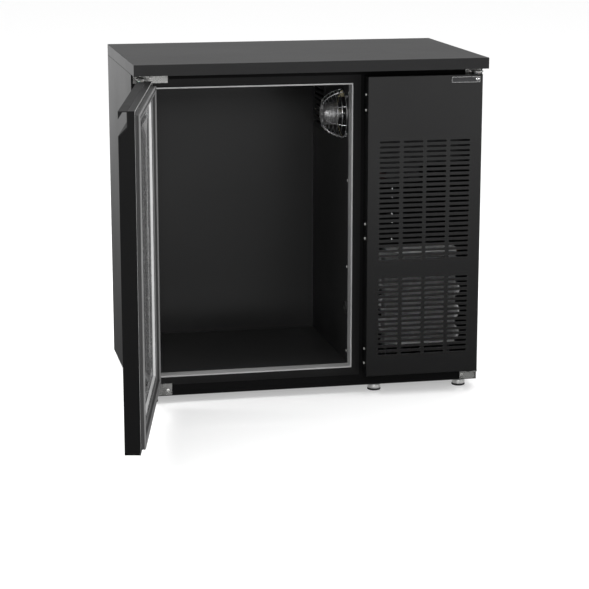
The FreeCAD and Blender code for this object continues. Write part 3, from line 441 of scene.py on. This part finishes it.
# ---- Chamber ----
# The liner is black coated sheet. A bright strip trims its mouth, and a dull
# plastic strip covers the cold bridge beside it.
liner_coat = finish("liner_coat", (0.018, 0.018, 0.0185), 0.36,
                    skin={"Contrast": 0.18, "Cloud Size": 2.2, "Grain Size": 800.0, "Gloss Drift": 0.10},
                    dust=0.01)
dress(liner_coat, "inner_liner")
trim_metal = finish("brushed_trim", (0.58, 0.58, 0.58), 0.50,
                    skin={"Contrast": 0.14, "Grain Size": 900.0, "Stretch Z": 0.03, "Stretch X": 0.03},
                    relief=0.00002, dust=0.0, Metallic=0.55)
dress(trim_metal, "jamb_trim")
strip_plastic = finish("dull_black_plastic", (0.030, 0.030, 0.031), 0.46,
                       skin={"Contrast": 0.15, "Grain Size": 700.0})


def frame_ring(x, z, inset, y, corner=0.0, place=at, steps=3):
    """A rectangle that faces the front, pulled in on all sides, as a ring of points."""
    x0, x1, z0, z1 = x[0] + inset, x[1] - inset, z[0] + inset, z[1] - inset
    if corner <= 0:
        return [place(a, y, b) for a, b in ((x0, z0), (x1, z0), (x1, z1), (x0, z1))]
    ring = []
    for a, b, start in ((x1 - corner, z0 + corner, -90), (x1 - corner, z1 - corner, 0),
                        (x0 + corner, z1 - corner, 90), (x0 + corner, z0 + corner, 180)):
        for step in range(steps + 1):
            angle = math.radians(start + 90 * step / steps)
            ring.append(place(a + corner * math.cos(angle), y, b + corner * math.sin(angle)))
    return ring


mouth_x, mouth_z = (40.0, 600.0), (77.0, 866.0)
bridge_plastic = finish("cold_bridge_plastic", (0.008, 0.008, 0.0082), 0.50,
                        skin={"Contrast": 0.15, "Grain Size": 700.0}, dust=0.004, Specular_IOR_Level=0.2)
strip_profile = [(-24.0, 59.96), (-23.4, 59.80), (-3.0, 59.76), (-2.4, 59.96)]
cold_strip = loft("cold_bridge_strip", [frame_ring(mouth_x, mouth_z, inset, y) for inset, y in strip_profile],
                  [bridge_plastic], closed=True)
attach(cold_strip, "cabinet")

# ---- Screws ----
# Zinc plated pan-head screws with a cross recess. They hold the hinge brackets,
# the liner's side walls and the three catch plates.
zinc = finish("bright_zinc", (0.82, 0.82, 0.80), 0.30,
              skin={"Contrast": 0.16, "Cloud Size": 60.0, "Grain Size": 500.0, "Gloss Drift": 0.12},
              relief=0.00002, dust=0.0, Metallic=0.5)


def pan_head(centre, axis, radius, height, made_of):
    """A domed head with a cross recess; the axis is a unit vector out of the face."""
    recess_reach, recess_half_width, recess_depth = 0.58, 0.115, 0.55
    out = Vector(axis)
    side = out.orthogonal().normalized()
    up = out.cross(side)
    rings = []
    for share, rise in ((1.0, 0.0), (1.0, 0.45), (0.93, 0.72), (0.76, 0.90), (0.60, 0.97), (0.44, 1.0),
                        (0.30, 1.0), (0.18, 1.0), (0.05, 1.0)):
        ring = []
        for step in range(32):
            angle = 2 * math.pi * step / 32
            arm = min(abs(math.sin(angle)), abs(math.cos(angle))) * share
            sunk = recess_depth if share < recess_reach and arm < recess_half_width else 0.0
            lift = height * MM * (rise - sunk)
            reach = radius * share * MM
            ring.append(centre + out * lift + side * (reach * math.cos(angle)) + up * (reach * math.sin(angle)))
        rings.append(ring)
    return loft("head", rings, [made_of], crease=30.0)


bracket_heads = [((x, 57.0, z), (0, -1, 0), 4.5, 2.2) for z in (899.0, 38.0) for x in (52.0, 86.0, 921.0)]
liner_heads = [((x, y, z), (out, 0, 0), 4.0, 1.4) for x, out in ((600.0, -1), (40.0, 1))
               for y, z in ((102.0, 836.0), (110.0, 594.0), (111.0, 351.0), (112.0, 109.5))]
heads = [pan_head(at(*place), axis, radius, height, zinc)
         for place, axis, radius, height in bracket_heads + liner_heads]
cabinet_heads = joined("cabinet_screw_heads", heads)
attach(cabinet_heads, "cabinet")
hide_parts("cabinet_screws")
catch_levels = (839.0, 797.0, 485.0, 445.0, 134.0, 93.0)
heads = [pan_head(at(631.5, 32.0, level), (-1, 0, 0), 3.4, 1.6, zinc) for level in catch_levels]
catch_heads = joined("catch_screw_heads", heads)
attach(catch_heads, "service_leaf")
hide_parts("catch_screws")

# ---- Hinges ----
# Pressed zinc plated brackets with riveted pins, which turn in natural nylon
# bushes in the door and in the service panel.
hinge_zinc = finish("hinge_zinc", (0.46, 0.46, 0.45), 0.28,
                    skin={"Contrast": 0.22, "Cloud Size": 45.0, "Grain Size": 420.0, "Gloss Drift": 0.12},
                    relief=0.00003, worn=(0.85, 0.85, 0.84), wear=0.5, dust=0.02, Metallic=0.9)
dress(hinge_zinc, "door_hinge_upper", "door_hinge_lower", "panel_hinge_upper", "panel_hinge_lower", "panel_catches")
nylon = finish("natural_nylon", (0.66, 0.66, 0.62), 0.42, skin={"Contrast": 0.08, "Grain Size": 500.0},
               Subsurface_Weight=0.15, Subsurface_Scale=0.002)
dress(nylon, "door_bushes", "panel_bushes")

# ---- Evaporator fan ----
# A bright can motor hangs in a domed basket of plated wire, and drives a moulded
# fan behind it, in the round hole through the partition.
chrome = finish("plated_wire", (0.88, 0.88, 0.89), 0.30,
                skin={"Contrast": 0.06, "Grain Size": 300.0, "Gloss Drift": 0.05},
                relief=0.00001, dust=0.0, Metallic=1.0)
dress(chrome, "fan_guard")
can_metal = finish("spun_motor_can", (0.80, 0.80, 0.80), 0.40,
                   skin={"Contrast": 0.10, "Grain Size": 500.0, "Stretch X": 12.0},
                   relief=0.00002, dust=0.0, Metallic=0.9)
low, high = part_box("evaporator_fan_motor")
axle = Vector((low.x, (low.y + high.y) / 2, (low.z + high.z) / 2))
can_profile = [(2.0, 1.8), (7.0, 1.8), (7.6, 0.4), (11.0, 0.0), (12.0, 1.2), (24.0, 1.6), (25.0, 0.4), (27.2, 0.4),
               (29.4, 1.2), (30.4, 2.8), (30.8, 5.2), (30.8, 19.0), (29.9, 19.6), (29.9, 21.0), (30.8, 21.6),
               (30.8, 39.4), (29.6, 42.4), (26.8, 43.6), (12.0, 44.0), (12.0, 56.0), (3.0, 56.4), (3.0, 82.0)]
can = loft("can", turned(axle, can_profile, 48, "X"), [can_metal])
# Twelve ribs stand on the can's end between its vents.
rib_count = 12
rib_corners = [Vector((x, y, z)) for z in (0.0135, 0.0230) for y in (-0.0012, 0.0012) for x in (0.0004, 0.003)]
ribs = []
for step in range(rib_count):
    spoke = Matrix.Rotation(2 * math.pi * step / rib_count, 4, "X")
    ribs.append(solid("rib", [axle + spoke @ corner for corner in rib_corners], box_faces, [can_metal]))
fan_can = joined("evaporator_motor_can", [can] + ribs)
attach(fan_can, "cabinet")
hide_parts("evaporator_fan_motor")

fan_plastic = finish("glossy_fan_plastic", (0.018, 0.018, 0.018), 0.32, skin={"Contrast": 0.10, "Grain Size": 400.0})


def axial_fan(name, centre, axis, hub, tip, length, count, chord, made_of):
    """A moulded fan: a hollow-faced hub and cambered, twisted blades."""
    camber, half_thick, edge_thick, steps = 2.4, 0.9, 0.15, 8
    root = hub * 0.94
    hub_profile = [(hub * 0.3, 1.2), (hub * 0.72, 1.2), (hub * 0.80, 0.0), (hub * 0.97, 0.3), (hub, 1.4),
                   (hub, length - 1.4), (hub * 0.97, length - 0.3), (hub * 0.3, length)]
    parts = [loft("hub", turned(Vector(), hub_profile, 40, "X"), [made_of])]
    for index in range(count):
        sections = []
        for span in range(steps + 1):
            share = span / steps
            radius = root + (tip - root) * share
            width = chord * (0.80 + 0.35 * share - 0.22 * share ** 6)
            pitch = math.radians(40 - 16 * share)
            lean = math.radians(10 * share)
            section = []
            for face, order in ((1, range(steps + 1)), (-1, range(steps, -1, -1))):
                for step in order:
                    along = step / steps - 0.5
                    thick = half_thick * (1 - (2 * along) ** 4) + edge_thick
                    rise = camber * (1 - 4 * along * along) + face * thick
                    across = along * width
                    turn_x = across * math.sin(pitch) + rise * math.cos(pitch) + length / 2 - 1.5
                    turn_y = across * math.cos(pitch) - rise * math.sin(pitch)
                    angle = turn_y / radius + lean
                    section.append(Vector((turn_x, radius * math.sin(angle), radius * math.cos(angle))) * MM)
            sections.append(section)
        blade = loft("blade", sections, [made_of], crease=50.0)
        blade.data.transform(Matrix.Rotation(2 * math.pi * index / count, 4, "X"))
        parts.append(blade)
    wheel = joined(name, parts)
    facing = Matrix.Rotation(math.pi / 2, 4, "Z") if axis == "Y" else Matrix.Identity(4)
    wheel.data.transform(Matrix.Translation(centre) @ facing)
    return wheel


low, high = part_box("evaporator_fan_blade")
wheel_centre = Vector((at(606.0, 0, 0).x, (low.y + high.y) / 2, (low.z + high.z) / 2))
cold_fan = axial_fan("evaporator_fan_wheel", wheel_centre, "X", 20.0, 57.8, 15.0, 5, 34.0, fan_plastic)
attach(cold_fan, "evaporator_fan")
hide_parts("evaporator_fan_blade")
dress(strip_plastic, "return_air_grille")

# Plastic sleeves line the fan's opening and the return opening in the partition.
sleeve_centre = Vector((at(601.5, 0, 0).x, wheel_centre.y, wheel_centre.z))
sleeve_profile = [(63.9, 0.0), (63.9, 39.0), (62.9, 39.0), (62.9, 0.0)]
fan_sleeve = loft("fan_opening_sleeve", turned(sleeve_centre, sleeve_profile, 64, "X"),
                  [strip_plastic], closed=True)
air_y, air_z = (400.0, 520.0), (700.0, 820.0)
air_rings = []
for x, inset in ((601.2, 0.1), (640.8, 0.1), (640.8, 1.2), (601.2, 1.2)):
    y0, y1, z0, z1 = air_y[0] + inset, air_y[1] - inset, air_z[0] + inset, air_z[1] - inset
    air_rings.append([at(x, y, z) for y, z in ((y0, z0), (y1, z0), (y1, z1), (y0, z1))])
air_sleeve = loft("return_opening_sleeve", air_rings, [strip_plastic], closed=True)
for piece in (fan_sleeve, air_sleeve):
    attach(piece, "cabinet")
grommet_rubber = finish("grommet_rubber", (0.020, 0.020, 0.020), 0.60, skin={"Contrast": 0.2, "Grain Size": 500.0})
dress(grommet_rubber, "port_grommet", "compressor_mounts")

# ---- Evaporator ----
# A finned block over a plastic drip tray, in the insulated box above the
# machinery. A hose takes the water down to the condensate tray.
fin_metal = finish("pressed_fins", (0.72, 0.72, 0.73), 0.40, skin={"Contrast": 0.12, "Grain Size": 300.0},
                   relief=0.00002, dust=0.02, Metallic=0.45)
copper = finish("drawn_copper", (0.30, 0.17, 0.12), 0.36,
                skin={"Contrast": 0.30, "Cloud Size": 30.0, "Grain Size": 250.0, "Gloss Drift": 0.15},
                relief=0.00002, dust=0.02, Metallic=1.0)


def tube(name, route, radius, made_of, sides=14):
    """A round tube along a route of points in metres."""
    rings = []
    side = None
    for index, here in enumerate(route):
        ahead = route[min(index + 1, len(route) - 1)] - route[max(index - 1, 0)]
        ahead.normalize()
        side = ahead.orthogonal() if side is None else side - ahead * side.dot(ahead)
        side.normalize()
        up = ahead.cross(side)
        rings.append([here + (side * math.cos(a) + up * math.sin(a)) * radius * MM
                      for a in (2 * math.pi * step / sides for step in range(sides))])
    return loft(name, rings, [made_of], crease=60.0)


def return_bend(x, y, low_z, high_z, reach, radius, made_of):
    """A hairpin bend that joins two tubes of one bank at the end of a coil."""
    middle, half = (low_z + high_z) / 2, (high_z - low_z) / 2
    route = [at(x + reach * math.cos(a), y, middle + half * math.sin(a))
             for a in (math.radians(-90 + 180 * step / 14) for step in range(15))]
    return tube("bend", route, radius, made_of)


def finned_coil(name, x, y, z, pitch, rows, banks, radius, made_of, tube_of):
    """Thin fins between two end plates, with straight tubes and hairpin bends."""
    overhang, bend_reach = 6, 9.0
    count = int((x[1] - x[0]) / pitch)
    plates = [((x[0] + i * pitch, x[0] + i * pitch + 0.35), y, z) for i in range(1, count)]
    plates += [((x[0] - 1.5, x[0]), y, z), ((x[1], x[1] + 1.5), y, z)]
    fins = bars(name + "_fins", plates, [made_of])
    pipes = []
    for bank in banks:
        for row in rows:
            run = x[1] - x[0] + 2 * overhang
            route = [at(x[0] - overhang + run * step / 4, bank, row) for step in range(5)]
            pipes.append(tube("run", route, radius, tube_of))
        for index, (lower, upper) in enumerate(zip(rows, rows[1:])):
            side, reach = ((x[1] + overhang, bend_reach), (x[0] - overhang, -bend_reach))[index % 2]
            pipes.append(return_bend(side, bank, lower, upper, reach, radius, tube_of))
    return fins, joined(name + "_tubes", pipes)


cold_rows = [712.0 + 36 * row for row in range(4)]
cold_fins, cold_pipes = finned_coil("evaporator", (682.0, 894.0), (250.0, 330.0), (690.0, 845.0), 5.0, cold_rows,
                                    (272.0, 308.0), 4.8, fin_metal, copper)
for piece in (cold_fins, cold_pipes):
    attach(piece, "cabinet")
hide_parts("evaporator_coil")
dress(strip_plastic, "drip_tray")
hose_rubber = finish("drain_hose_rubber", (0.05, 0.05, 0.05), 0.5, skin={"Contrast": 0.2, "Grain Size": 350.0})
dress(hose_rubber, "drain_hose")

# ---- Condensing unit ----
# The compressor stands on rubber mounts behind the condenser, whose fan draws
# air in through the service panel. Copper lines join the parts.
pot_enamel = finish("black_pot_enamel", (0.012, 0.012, 0.012), 0.24,
                    skin={"Contrast": 0.15, "Cloud Size": 12.0, "Grain Size": 260.0}, relief=0.00006,
                    worn=(0.12, 0.12, 0.12), wear=0.4, dust=0.05, Coat_Weight=0.3)
dress(pot_enamel, "compressor")
condenser_rows = [138.0 + 31 * row for row in range(9)]
hot_fins, hot_pipes = finned_coil("condenser", (704.5, 902.5), (78.0, 122.0), (122.0, 402.0), 2.6, condenser_rows,
                                  (90.0, 110.0), 3.6, fin_metal, fin_metal)
# The rails' near-white colour is a painted highlight that stands in for the glint along the condenser frame's edges.
rail_painted_highlight = finish("painted_highlight_rail", (0.86, 0.86, 0.86), 0.45, skin={"Contrast": 0.10, "Grain Size": 500.0},
                    relief=0.00002, dust=0.0, Metallic=0.1)
rail_spans = [((703.0, 904.0), (77.4, 122.1), (400.5, 402.0)), ((703.0, 904.0), (77.4, 122.1), (122.0, 123.5)),
              ((731.0, 904.0), (76.6, 77.6), (390.0, 402.0)), ((731.0, 904.0), (76.6, 77.6), (122.0, 133.0))]
condenser_rails = bars("condenser_rails", rail_spans, [rail_painted_highlight])
for piece in (hot_fins, hot_pipes, condenser_rails):
    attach(piece, "cabinet")
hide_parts("condenser_coil")
dress(galvanised, "fan_shroud")
low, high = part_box("condenser_fan_blade")
wheel_centre = Vector(((low.x + high.x) / 2, at(0, 130.2, 0).y, (low.z + high.z) / 2))
hot_fan = axial_fan("condenser_fan_wheel", wheel_centre, "Y", 26.0, 103.0, 18.0, 5, 62.0, fan_plastic)
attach(hot_fan, "condenser_fan")
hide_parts("condenser_fan_blade")
lamination = finish("motor_laminations", (0.34, 0.34, 0.35), 0.38,
                    skin={"Contrast": 0.30, "Grain Size": 900.0, "Stretch Y": 3.0, "Stretch X": 0.1, "Stretch Z": 0.1},
                    relief=0.0001, Metallic=0.85)
dress(lamination, "condenser_fan_motor")
dress(copper, "refrigerant_lines", "filter_drier")

# ---- Controls ----
# A small thermostat with a dark display and three keys, and a rocker switch,
# on a bracket that is reached by opening the service panel.
housing = finish("control_housing", (0.024, 0.024, 0.026), 0.42, skin={"Contrast": 0.12, "Grain Size": 800.0},
                 relief=0.00006)
dress(housing, "controller", "power_switch_case", "power_switch_rocker", "power_inlet")
key_rubber = finish("key_rubber", (0.30, 0.30, 0.31), 0.55, skin={"Contrast": 0.12, "Grain Size": 700.0})
dress(key_rubber, "key_set", "key_down", "key_up")
smoked, tree, shader = material("smoked_display_window", Roughness=0.08, Coat_Weight=1.0)
haze = put_effect(tree, skin_effect, {"Color": (0.015, 0.006, 0.006, 1), "Contrast": 0.2, "Roughness": 0.08,
                                      "Gloss Drift": 0.03, "Cloud Size": 30.0})
tree.links.new(haze["Color"], shader.inputs["Base Color"])
dark_segments, tree, shader = material("unlit_segments", Roughness=0.3)
faint = put_effect(tree, skin_effect, {"Color": (0.05, 0.02, 0.02, 1), "Contrast": 0.15, "Cloud Size": 200.0})
tree.links.new(faint["Color"], shader.inputs["Base Color"])
pane_x, pane_z = (668.2, 705.8), (598.2, 615.8)
pane = loft("display_window", [frame_ring(pane_x, pane_z, inset, y, 1.2) for inset, y in
                               ((0.0, 93.4), (0.0, 92.5), (0.6, 92.15))], [smoked])
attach(pane, "cabinet")
segments = {"top": ((1, 5), (11, 12)), "middle": ((1, 5), (5.5, 6.5)), "bottom": ((1, 5), (0, 1)),
            "low_left": ((0, 1), (1, 5.5)), "low_right": ((5, 6), (1, 5.5)),
            "high_left": ((0, 1), (6.5, 11)), "high_right": ((5, 6), (6.5, 11))}
digits = ((676.0, ("high_left", "high_right", "middle", "low_right")),
          (688.0, ("top", "high_left", "high_right", "low_left", "low_right", "bottom")))
ink, foot_line = (92.0, 92.16), 601
strokes = [((left + x[0] + 0.15, left + x[1] - 0.15), ink, (foot_line + z[0] + 0.1, foot_line + z[1] - 0.1))
           for left, names in digits for x, z in (segments[n] for n in names)]
strokes.append(((684.4, 685.4), ink, (601.0, 602.0)))
display_digits = bars("display_digits", strokes, [dark_segments])
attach(display_digits, "cabinet")

# ---- Door ----
# A folded, foam filled leaf. It hangs open on the left, so every piece is laid
# out as closed and then swung with the leaf about its hinge pins.
joint = next(j for j in frame["joints"] if j["name"] == "door_hinge")
swing = Matrix.Rotation(-math.radians(joint["range_deg"][1]), 3, "Z")
hinge_point = Vector((joint["pos_m"][0], joint["pos_m"][1], 0))


def on_door(x, y, z):
    """A place on the closed door, in mm, carried to where the open door has it."""
    return hinge_point + swing @ (at(x, y, z) - hinge_point)


door_coat = finish("door_powder_coat", (0.0045, 0.0045, 0.0047), 0.34, skin=powder_skin,
                   worn=(0.10, 0.10, 0.10), wear=0.3, dust=0.004, Specular_IOR_Level=0.18)
dress(door_coat, "door_shell")

# The pull is one length of black anodised profile, open to the front under a
# rolled lip. Its free end is sawn square, and its hinge end is filled in.
anodised = finish("black_anodised", (0.008, 0.008, 0.0083), 0.62,
                  skin={"Contrast": 0.10, "Grain Size": 900.0, "Stretch X": 0.02, "Stretch Y": 0.02},
                  relief=0.00002, worn=(0.16, 0.16, 0.16), wear=0.3, dust=0.004, Specular_IOR_Level=0.2)
front, top = 8.0, 889.4
back, foot, heel = front + 23.0, top - 61.0, top - 38.0
hinge_end, block_end, free_end = 13.0, 45.0, 624.96
outline = [(front, top), (front, top - 19.0), (front + 9.6, top - 2.5), (front + 20.5, top - 2.5),
           (front + 20.5, top - 37.0), (front, top - 57.5), (front, foot), (back, heel), (back, top)]
profile = loft("profile", [[on_door(x, y, z) for y, z in outline] for x in (block_end, free_end)], [anodised])
filled = [(front, top), (front, foot), (back, heel), (back, top)]
corner = loft("corner", [[on_door(x, y, z) for y, z in filled] for x in (hinge_end, block_end)], [anodised])
grip = joined("door_pull_profile", [profile, corner])
softened = grip.modifiers.new("softened_edges", "BEVEL")
softened.width = 0.0006
softened.segments = 2
softened.limit_method = "ANGLE"
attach(grip, "door")
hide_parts("door_handle")

# The inner panel is vacuum formed from glossy grey-black sheet, with a rolled
# edge and a dished middle. It is held by the skin's returns.
formed_sheet = finish("formed_inner_sheet", (0.105, 0.105, 0.106), 0.24,
                      skin={"Contrast": 0.22, "Cloud Size": 9.0, "Grain Size": 120.0, "Gloss Drift": 0.12},
                      relief=0.0006, dust=0.0, Coat_Weight=0.25)
# The bevel of the formed sheet gets a pale colour of its own: a painted highlight.
painted_bevel_highlight = finish("painted_bevel_highlight", (0.62, 0.62, 0.62), 0.22, skin={"Contrast": 0.15, "Cloud Size": 9.0},
                        relief=0.0002, dust=0.0, Coat_Weight=0.3)
leaf_x, leaf_z = (14.0, 624.0), (60.0, 888.4)
# From the rim to the middle: inset, depth and corner radius. Step 6, counted from
# 0, is the bevel; its light colour is a painted highlight.
panel_steps = [(0.0, 37.6, 0.8), (0.0, 46.4, 0.8), (0.7, 47.0, 0.8), (38.4, 47.0, 3.0), (39.6, 47.5, 4.0),
               (41.2, 47.5, 4.0), (42.4, 46.6, 5.0), (47.6, 40.6, 8.0), (49.4, 39.4, 10.0),
               (53.0, 39.0, 12.0), (70.0, 39.0, 16.0), (73.0, 39.9, 18.0), (77.0, 39.9, 19.0),
               (80.0, 39.0, 20.0), (120.0, 39.0, 24.0)]
corner_steps, bevel_step = 6, 6
inner_panel = loft("door_inner_sheet", [frame_ring(leaf_x, leaf_z, inset, y, corner, on_door, corner_steps)
                                        for inset, y, corner in panel_steps], [formed_sheet, painted_bevel_highlight])
ring_size = 4 * (corner_steps + 1)
for face in inner_panel.data.polygons:
    if face.index // ring_size == bevel_step:
        face.material_index = 1
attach(inner_panel, "door")
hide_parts("door_inner_panel")

# The skin's returns show as a thin bright line of bare sheet round the panel.
return_metal = finish("bare_return_edge", (0.80, 0.80, 0.80), 0.38, skin={"Contrast": 0.12, "Grain Size": 700.0},
                      relief=0.00002, dust=0.0, Metallic=0.6)
return_edge = loft("door_return_edge", [frame_ring((13.0, 625.0), (59.0, 889.4), inset, y, 0.0, on_door)
                                        for inset, y in ((0.15, 46.9), (0.15, 47.3), (2.6, 47.3), (2.6, 46.9))],
                   [return_metal], closed=True)
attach(return_edge, "door")

# The seal is a soft extruded bellows with mitred corners, pressed into a groove,
# and its outer bulge holds a magnetic strip.
seal_rubber = finish("soft_seal_rubber", (0.175, 0.175, 0.175), 0.50,
                     skin={"Contrast": 0.15, "Cloud Size": 10.0, "Grain Size": 500.0}, relief=0.00008, dust=0.02)
# A darker copy of the seal rubber for the folds: painted shade.
fold_shade_paint = finish("painted_shade_seal_fold", (0.045, 0.045, 0.045), 0.6, skin={"Contrast": 0.15, "Grain Size": 500.0},
                     relief=0.00008, dust=0.0)
seal_profile = [(0.0, 0.0), (0.0, 2.6), (0.6, 3.4), (1.4, 4.2), (1.0, 6.0), (0.9, 8.6), (1.5, 10.8),
                (2.8, 11.8), (5.0, 11.8), (6.2, 10.9), (6.5, 8.4), (6.0, 6.0), (6.6, 4.3), (8.0, 3.7),
                (9.4, 4.3), (9.9, 6.0), (9.4, 8.6), (10.0, 10.9), (11.2, 11.8), (14.6, 11.8), (15.8, 10.8),
                (16.2, 8.4), (15.7, 6.0), (15.6, 4.2), (16.4, 3.4), (17.0, 2.6), (17.0, 0.0)]
seal_seat = 47.0
seal = loft("door_bellows_seal", [frame_ring((23.0, 615.0), (69.0, 879.4), inset, seal_seat + rise, 0.0, on_door)
                                  for inset, rise in seal_profile],
            [seal_rubber, fold_shade_paint], closed=True, crease=50.0)
# These steps of the profile, counted from 0, lie deep in the folds and get the darker rubber, which is painted shade.
faces_per_step = 4
folds = (0, 1, 2, 3, 4, 9, 10, 11, 12, 13, 14, 15, 16, 21, 22, 23, 24)
for face in seal.data.polygons:
    if face.index // faces_per_step in folds:
        face.material_index = 1
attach(seal, "door")
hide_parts("door_gasket")

# ---- Service panel ----
# A folded steel tray, punched with two fields of round-ended slots. A plain
# nameplate is stuck in its upper right corner.
panel_coat = finish("panel_powder_coat", (0.0035, 0.0035, 0.0037), 0.24,
                    skin={"Contrast": 0.10, "Cloud Size": 3.0, "Grain Size": 1100.0, "Gloss Drift": 0.04},
                    worn=(0.10, 0.10, 0.10), wear=0.4, dust=0.004, Specular_IOR_Level=0.5)
dress(panel_coat, "service_panel")
plate_metal = finish("dark_nameplate", (0.060, 0.060, 0.062), 0.28,
                     skin={"Contrast": 0.12, "Grain Size": 900.0, "Stretch X": 0.03}, relief=0.00002,
                     worn=(0.45, 0.45, 0.45), wear=0.6, dust=0.0, Metallic=0.7)
dress(plate_metal, "badge_plate")
low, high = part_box("badge_plate")
plate_x = ((low.x - worktop_low.x) * 1000, (high.x - worktop_low.x) * 1000)
plate_z = (low.z * 1000, high.z * 1000)
bright_metal = finish("polished_bezel", (0.78, 0.78, 0.78), 0.22, skin={"Contrast": 0.06, "Grain Size": 500.0},
                      relief=0.00001, dust=0.0, Metallic=0.9)
bezel_steps = ((0.5, 6.62, 1.6), (0.6, 6.3, 1.6), (1.2, 6.3, 1.2), (1.3, 6.62, 1.2))
bezel = loft("nameplate_bezel", [frame_ring(plate_x, plate_z, inset, y, corner)
                                 for inset, y, corner in bezel_steps], [bright_metal], closed=True)
stud_centre = at(plate_x[1] - 8.0, 6.65, (plate_z[0] + plate_z[1]) / 2)
stud_profile = [(5.2, 0.0), (5.2, -0.4), (4.6, -0.8), (2.4, -1.1), (0.4, -1.2)]
stud = loft("stud", turned(stud_centre, stud_profile, 32, "Y"), [bright_metal])
bezel_and_stud = joined("nameplate_trim", [bezel, stud])
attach(bezel_and_stud, "service_leaf")
